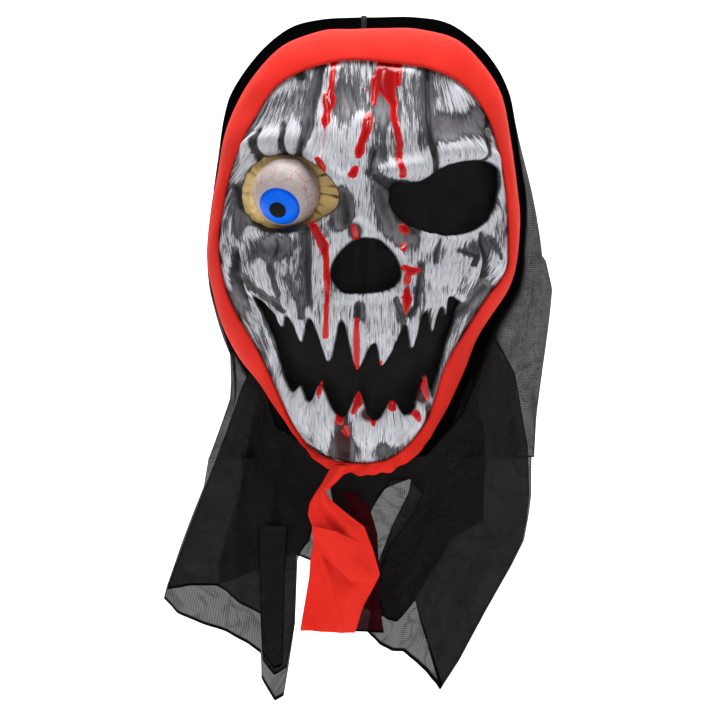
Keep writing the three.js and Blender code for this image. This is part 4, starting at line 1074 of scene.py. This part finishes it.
def falls():
    """The loose cloth: three plies on each side of the face, a pleat, a gusset at the chin, and the back."""
    left_under = (
        [(-95, -155.6), (-70, -155.6), (-35, -157)],
        [(-121, -240), (-113, -249), (-97, -255.5), (-83, -260.5), (-70.5, -267), (-62.5, -273), (-62, -288),
         (-54, -302), (-48.5, -299)],
        [(-95, -155.6), (-97.5, -173), (-110, -206), (-119, -232), (-121, -240)],
        [(-35, -157), (-38, -190), (-41, -216), (-41.6, -255), (-45.8, -283), (-48.5, -299)],
    )
    left_over = (
        [(-66, -95), (-54, -136), (-18, -158)],
        [(-118.5, -234), (-104, -232), (-89, -232), (-83, -235), (-74.7, -243), (-62.5, -249), (-61, -278),
         (-54, -286), (-46.5, -281)],
        [(-66, -95), (-74, -112), (-84, -140), (-96, -172), (-108.5, -206), (-118.5, -234)],
        [(-18, -158), (-31, -182), (-32, -200), (-40, -216), (-41.5, -255), (-46.5, -281)],
    )
    left_inner = (
        [(-58, -98), (-48, -138), (-16, -157)],
        [(-88.6, -232), (-78.8, -229), (-62.3, -222.5), (-50, -215.5), (-40, -213.5)],
        [(-58, -98), (-64, -119), (-70, -144), (-75, -175), (-82, -196), (-87, -216), (-88.6, -232)],
        [(-16, -157), (-30, -180), (-31, -197), (-33, -206), (-40, -213.5)],
    )
    left_pleat = (
        [(-64, -196), (-46, -196)],
        [(-61.5, -272), (-54, -282), (-49, -280)],
        [(-64, -196), (-62.5, -230), (-61.5, -272)],
        [(-46, -196), (-48, -230), (-49, -280)],
    )
    right_under = (
        [(30, -159), (66, -154.6), (103, -154.6)],
        [(2, -260), (9.4, -268), (16.6, -271.5), (23.8, -272.5), (32, -279), (37.3, -284.5), (43.4, -291.5),
         (46, -295.5)],
        [(30, -159), (27, -176), (17, -196), (9, -217), (2, -260)],
        [(103, -154.6), (101.5, -178), (99.2, -191.5), (96.6, -205), (88.9, -220.5), (73.4, -248),
         (57.9, -277), (46, -295.5)],
    )
    right_over = (
        [(26, -166), (60, -130), (80, -82)],
        [(13, -252), (19.7, -254), (31, -241), (33.6, -252.5), (37.3, -264), (39.8, -273), (46, -294)],
        [(26, -166), (35.4, -176), (31, -187.5), (14.5, -209), (10, -222), (8, -236), (13, -252)],
        [(80, -82), (92, -104), (100, -150), (100, -178), (98, -191.5), (95.4, -205), (87.8, -220.5),
         (72.4, -248), (57, -277), (46, -294)],
    )
    right_inner = (
        [(26, -166), (54, -134), (66, -104)],
        [(10, -250), (15, -253.5), (19.7, -253.5)],
        [(26, -166), (35.4, -176), (31, -187.5), (14.5, -209), (9.5, -222), (7, -236), (10, -250)],
        [(66, -104), (74, -144), (72, -165), (72, -190), (60, -197.7), (51.7, -205), (47.6, -214),
         (40.4, -224.6), (31, -240.6), (19.7, -253.5)],
    )
    hang = [
        ("fall_left_under", left_under, 0, (3.2, 3.0, -0.2), 1, (80, 115), "left_fall", "fall_left"),
        ("fall_left_over", left_over, -6, (3.0, 3.2, -0.15), 2, (72, 160), "left_fall", None),
        ("fall_left_inner", left_inner, 6, (3.0, 2.6, -0.15), 9, (42, 125), "left_fall", None),
        ("fall_left_pleat", left_pleat, -9, (0.8, 1.2, 0.0), 12, (15, 82), "left_fall", None),
        ("fall_right_under", right_under, 0, (3.4, 3.0, 0.2), 3, (85, 115), "right_fall", "fall_right"),
        ("fall_right_over", right_over, -6, (3.0, 3.2, 0.15), 4, (72, 165), "right_fall", None),
        ("fall_right_inner", right_inner, 6, (2.6, 2.6, 0.15), 10, (45, 120), "right_fall", None),
    ]
    for name, lines, step, folds, seed, size, body, cad in hang:
        edge = HOOD_HEM_DEPTH if cad else BAND_RIM_DEPTH
        cloth = veil(name, lines, edge, step, folds, seed, 70, 130, size)
        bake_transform(cloth)
        if cad:
            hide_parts(cad)
    chin = (
        [(-22, -157), (10, -157), (42, -153)],
        [(-16, -196), (0, -199), (5, -184)],
        [(-22, -157), (-20, -175), (-16, -196)],
        [(42, -153), (36, -163), (27, -168), (16.6, -168.3), (5, -184)],
    )

    def under_chin(s, t):
        flat = patch(*chin, s, t)
        y = FALL_Y - 11 + 2 * np.sin(9 * s + 2 * t)
        return np.stack([flat[:, 0], y, flat[:, 1]], -1)
    gusset = sheet_piece("chin_gusset", under_chin, 30, 20, (36, 30), NET, "mask", "voile", BEHIND)
    back = (
        [(-80, -156), (80, -156)],
        [(-62, -211), (-43, -221), (-34, -225), (2, -256), (21, -264)],
        [(-80, -156), (-72, -180), (-62, -211)],
        [(80, -156), (77, -170), (77, -199), (64, -206), (55, -212), (43, -233), (33, -250), (21, -264)],
    )
    def hang_back(s, t):
        flat = patch(*back, s, t)
        y = BACK_PANEL_Y - 3 * t + hanging_folds(s, t, 4, 2.6, 0.05, 5)
        return np.stack([flat[:, 0], y, flat[:, 1]], -1)
    panel = sheet_piece("back_fall", hang_back, 80, 60, (150, 100), VOILE, None, "voile", (0, -400, -200),
                        low_hem)
    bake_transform(panel)
    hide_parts("back_panel")


def tail():
    """The edging's loose end, gathered under the chin, with its own fold and a strip of voile behind it."""
    def hang(z, s):
        return TAIL_Y + np.interp(z, [-260, -200, -172, -158], [0, -1, 0, 3]) + 0 * s

    strip_lines = (
        [(-19, -159), (-9, -159)],
        [(-38, -258), (-5.5, -259.5)],
        [(-19, -159), (-25, -170), (-32.3, -181), (-33.4, -188.4), (-30.8, -195.7), (-30.3, -206),
         (-32, -216), (-32.8, -226.6), (-38, -258)],
        [(-9, -159), (-11.7, -163.6), (-16.8, -168.8), (-23.4, -175), (-20, -180), (-9.6, -188.4),
         (0.2, -195.7), (5.9, -211), (9.5, -224.6), (5.9, -231.8), (-0.3, -243), (-5.5, -259.5)],
    )

    def strip(s, t):
        flat = patch(*strip_lines, s, t)
        pinch = smoothstep(-196, -166, flat[:, 1])
        y = hang(flat[:, 1], s) + hanging_folds(s, t, 1.3, 2.6, 0.5, 6) * (1 - pinch)
        y += pinch * 0.8 * np.sin(s * 7) - 3.5 * pinch * np.sin(math.pi * s)
        y -= 2.4 * np.exp(-(((flat[:, 0] + 18 + 0.28 * (flat[:, 1] + 240)) / 2.2) ** 2)) * (1 - pinch)
        return np.stack([flat[:, 0], y, flat[:, 1]], -1)
    # The tail takes the lighter copy of the cotton: painted light.
    cloth = sheet_piece("tail_cotton", strip, 64, 120, (40, 100), RED_PAINTED_LIGHTER, None, "red_cotton", BEHIND)
    thicken(cloth, COTTON_THICKNESS, 0.0)
    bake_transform(cloth)
    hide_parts("tail_strip", "chin_gather")

    fold_lines = (
        [(-31, -195), (-17, -198), (-3, -204.5)],
        [(-28, -210), (-16.8, -219.5), (-7.6, -228.3), (5.5, -227.5)],
        [(-31, -195), (-30, -204), (-28, -210)],
        [(-3, -204.5), (-4, -214), (1, -221), (5.5, -227.5)],
    )

    def fold(s, t):
        flat = patch(*fold_lines, s, t)
        y = hang(flat[:, 1], s) - 3.5 - 2.0 * np.sin(math.pi * s) * (0.5 + 0.5 * t)
        y += 1.2 * np.sin(5 * s + 3 * t)
        return np.stack([flat[:, 0], y, flat[:, 1]], -1)
    flap = sheet_piece("tail_turned_fold", fold, 40, 30, (32, 26), RED_PAINTED_LIGHTER, None, "red_cotton", BEHIND)
    thicken(flap, COTTON_THICKNESS, 0.0)
    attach(flap, "tail")
    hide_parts("tail_fold")

    veil_lines = (
        [(-14, -175), (-6, -175)],
        [(-11, -258.5), (12, -259.5)],
        [(-14, -175), (-10, -184), (-4, -197), (2, -211), (4, -224), (-5, -243), (-11, -258.5)],
        [(-6, -175), (3, -183), (8, -200), (9, -222), (9, -240), (12, -259.5)],
    )

    def overlay(s, t):
        flat = patch(*veil_lines, s, t)
        y = TAIL_Y + 4 + hanging_folds(s, t, 1.2, 1.2, 0.2, 8)
        return np.stack([flat[:, 0], y, flat[:, 1]], -1)
    strip_veil = sheet_piece("tail_voile", overlay, 24, 90, (16, 95), VOILE_LINED, None, "voile", BEHIND,
                             low_hem)
    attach(strip_veil, "tail")
    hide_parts("tail_overlay")


def screens():
    """The folded net behind the open eye, nose and mouth, dense enough to hide the wearer."""
    kinds = [
        ("eye_net", "eye_screen", (8, 88), (-30, 31), 4.5, (86, 70), (34, 30)),
        ("nose_net", "nose_screen", (-24, 26), (-62, -20), 6.5, (54, 44), (26, 22)),
        ("mouth_net", "mouth_screen", (-74, 68), (-136, -54), 4.5, (130, 90), (76, 48)),
    ]
    for name, cad, (x0, x1), (z0, z1), back, size, cells in kinds:
        def shape(s, t):
            narrow = 1 - 0.45 * (1 - t) ** 1.5 if name == "mouth_net" else 1 + 0 * t
            x = lerp((x0 + x1) / 2, lerp(x0, x1, s), narrow)
            z = lerp(z0, z1, t)
            sag = 1.6 * np.abs(np.sin(5.3 * s + 2.1 * t)) + 1.3 * np.abs(np.sin(4.1 * t - 6.7 * s))
            return skin_at(x, z) - skin_normal(x, z) * (back + sag)[:, None]
        net = sheet_piece(name, shape, *cells, size, NET, "mask", "voile", (0, 400, -40))
        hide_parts(cad)


# ---------------------------------------------------------------------------------------------------------
# The studio
# ---------------------------------------------------------------------------------------------------------
def studio():
    """A pale sweep, soft lights in front and above, and the camera."""
    bm, s, t = grid(2, 40)
    run = t * 5.2
    bend = np.clip((run - 3.0) / 0.9, 0, 1) * math.pi / 2
    y = np.where(run < 3.0, -2.0 + run, 1.0 + 0.6 * np.sin(bend))
    z = -0.42 + np.where(run < 3.0, 0, 0.6 * (1 - np.cos(bend))) + np.clip(run - 3.9, 0, None) * 2
    move_points(bm, np.stack([(s - 0.5) * 7, y, z], -1) / MM)
    bmesh.ops.recalc_face_normals(bm, faces=bm.faces)
    material = new_material("sweep_white_paper", Roughness=0.9, Base_Color=colour("#f7f7f7"))[0]
    mesh = bpy.data.meshes.new("sweep")
    bm.to_mesh(mesh)
    bm.free()
    mesh.materials.append(material)
    sweep = bpy.data.objects.new("sweep", mesh)
    bpy.context.collection.objects.link(sweep)

    world = bpy.data.worlds.new("studio")
    bpy.context.scene.world = world
    world.use_nodes = True
    world.node_tree.nodes["Background"].inputs["Color"].default_value = (1, 1, 1, 1)
    world.node_tree.nodes["Background"].inputs["Strength"].default_value = 0.16
    lights = [
        ("key_light", (0.45, -1.1, 1.9), 0.6, 18),
        ("fill_light", (-0.9, -1.9, 0.2), 1.2, 3),
        ("back_light", (0.0, 0.6, 1.5), 1.2, 5),
        ("sweep_light", (0.0, 0.3, 2.0), 1.6, 95),
    ]
    for name, place, size, power in lights:
        lamp = bpy.data.lights.new(name, "AREA")
        lamp.size = size
        lamp.energy = power
        made = bpy.data.objects.new(name, lamp)
        bpy.context.collection.objects.link(made)
        made.location = place
        aim = Vector((0, -0.05, -0.08)) if name != "sweep_light" else Vector((0, 1.6, -0.2))
        made.rotation_euler = (aim - Vector(place)).to_track_quat("-Z", "Y").to_euler()
    lens = bpy.data.cameras.new("camera")
    lens.lens = 208
    lens.clip_end = 30
    camera = bpy.data.objects.new("camera", lens)
    bpy.context.collection.objects.link(camera)
    camera.location = (-0.0024, -2.575, -0.096)
    camera.rotation_euler = (math.pi / 2, 0, 0)
    bpy.context.scene.camera = camera
    bpy.context.scene.view_settings.view_transform = "Standard"


def dress(node_name, material):
    """Gives a CAD node its finish."""
    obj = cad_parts[node_name]
    obj.data.materials.clear()
    obj.data.materials.append(material)


studio()
skull_face()
eyeball()
eye_collar()
screens()
red_edging()
hood_side(-1)
hood_side(1)
falls()
tail()
dress("elastic_strap", knitted_elastic())
steel = nickel_plate()
for rivet in ("strap_rivet_left", "strap_rivet_right"):
    dress(rivet, steel)
dress("hood_seam", VOILE)
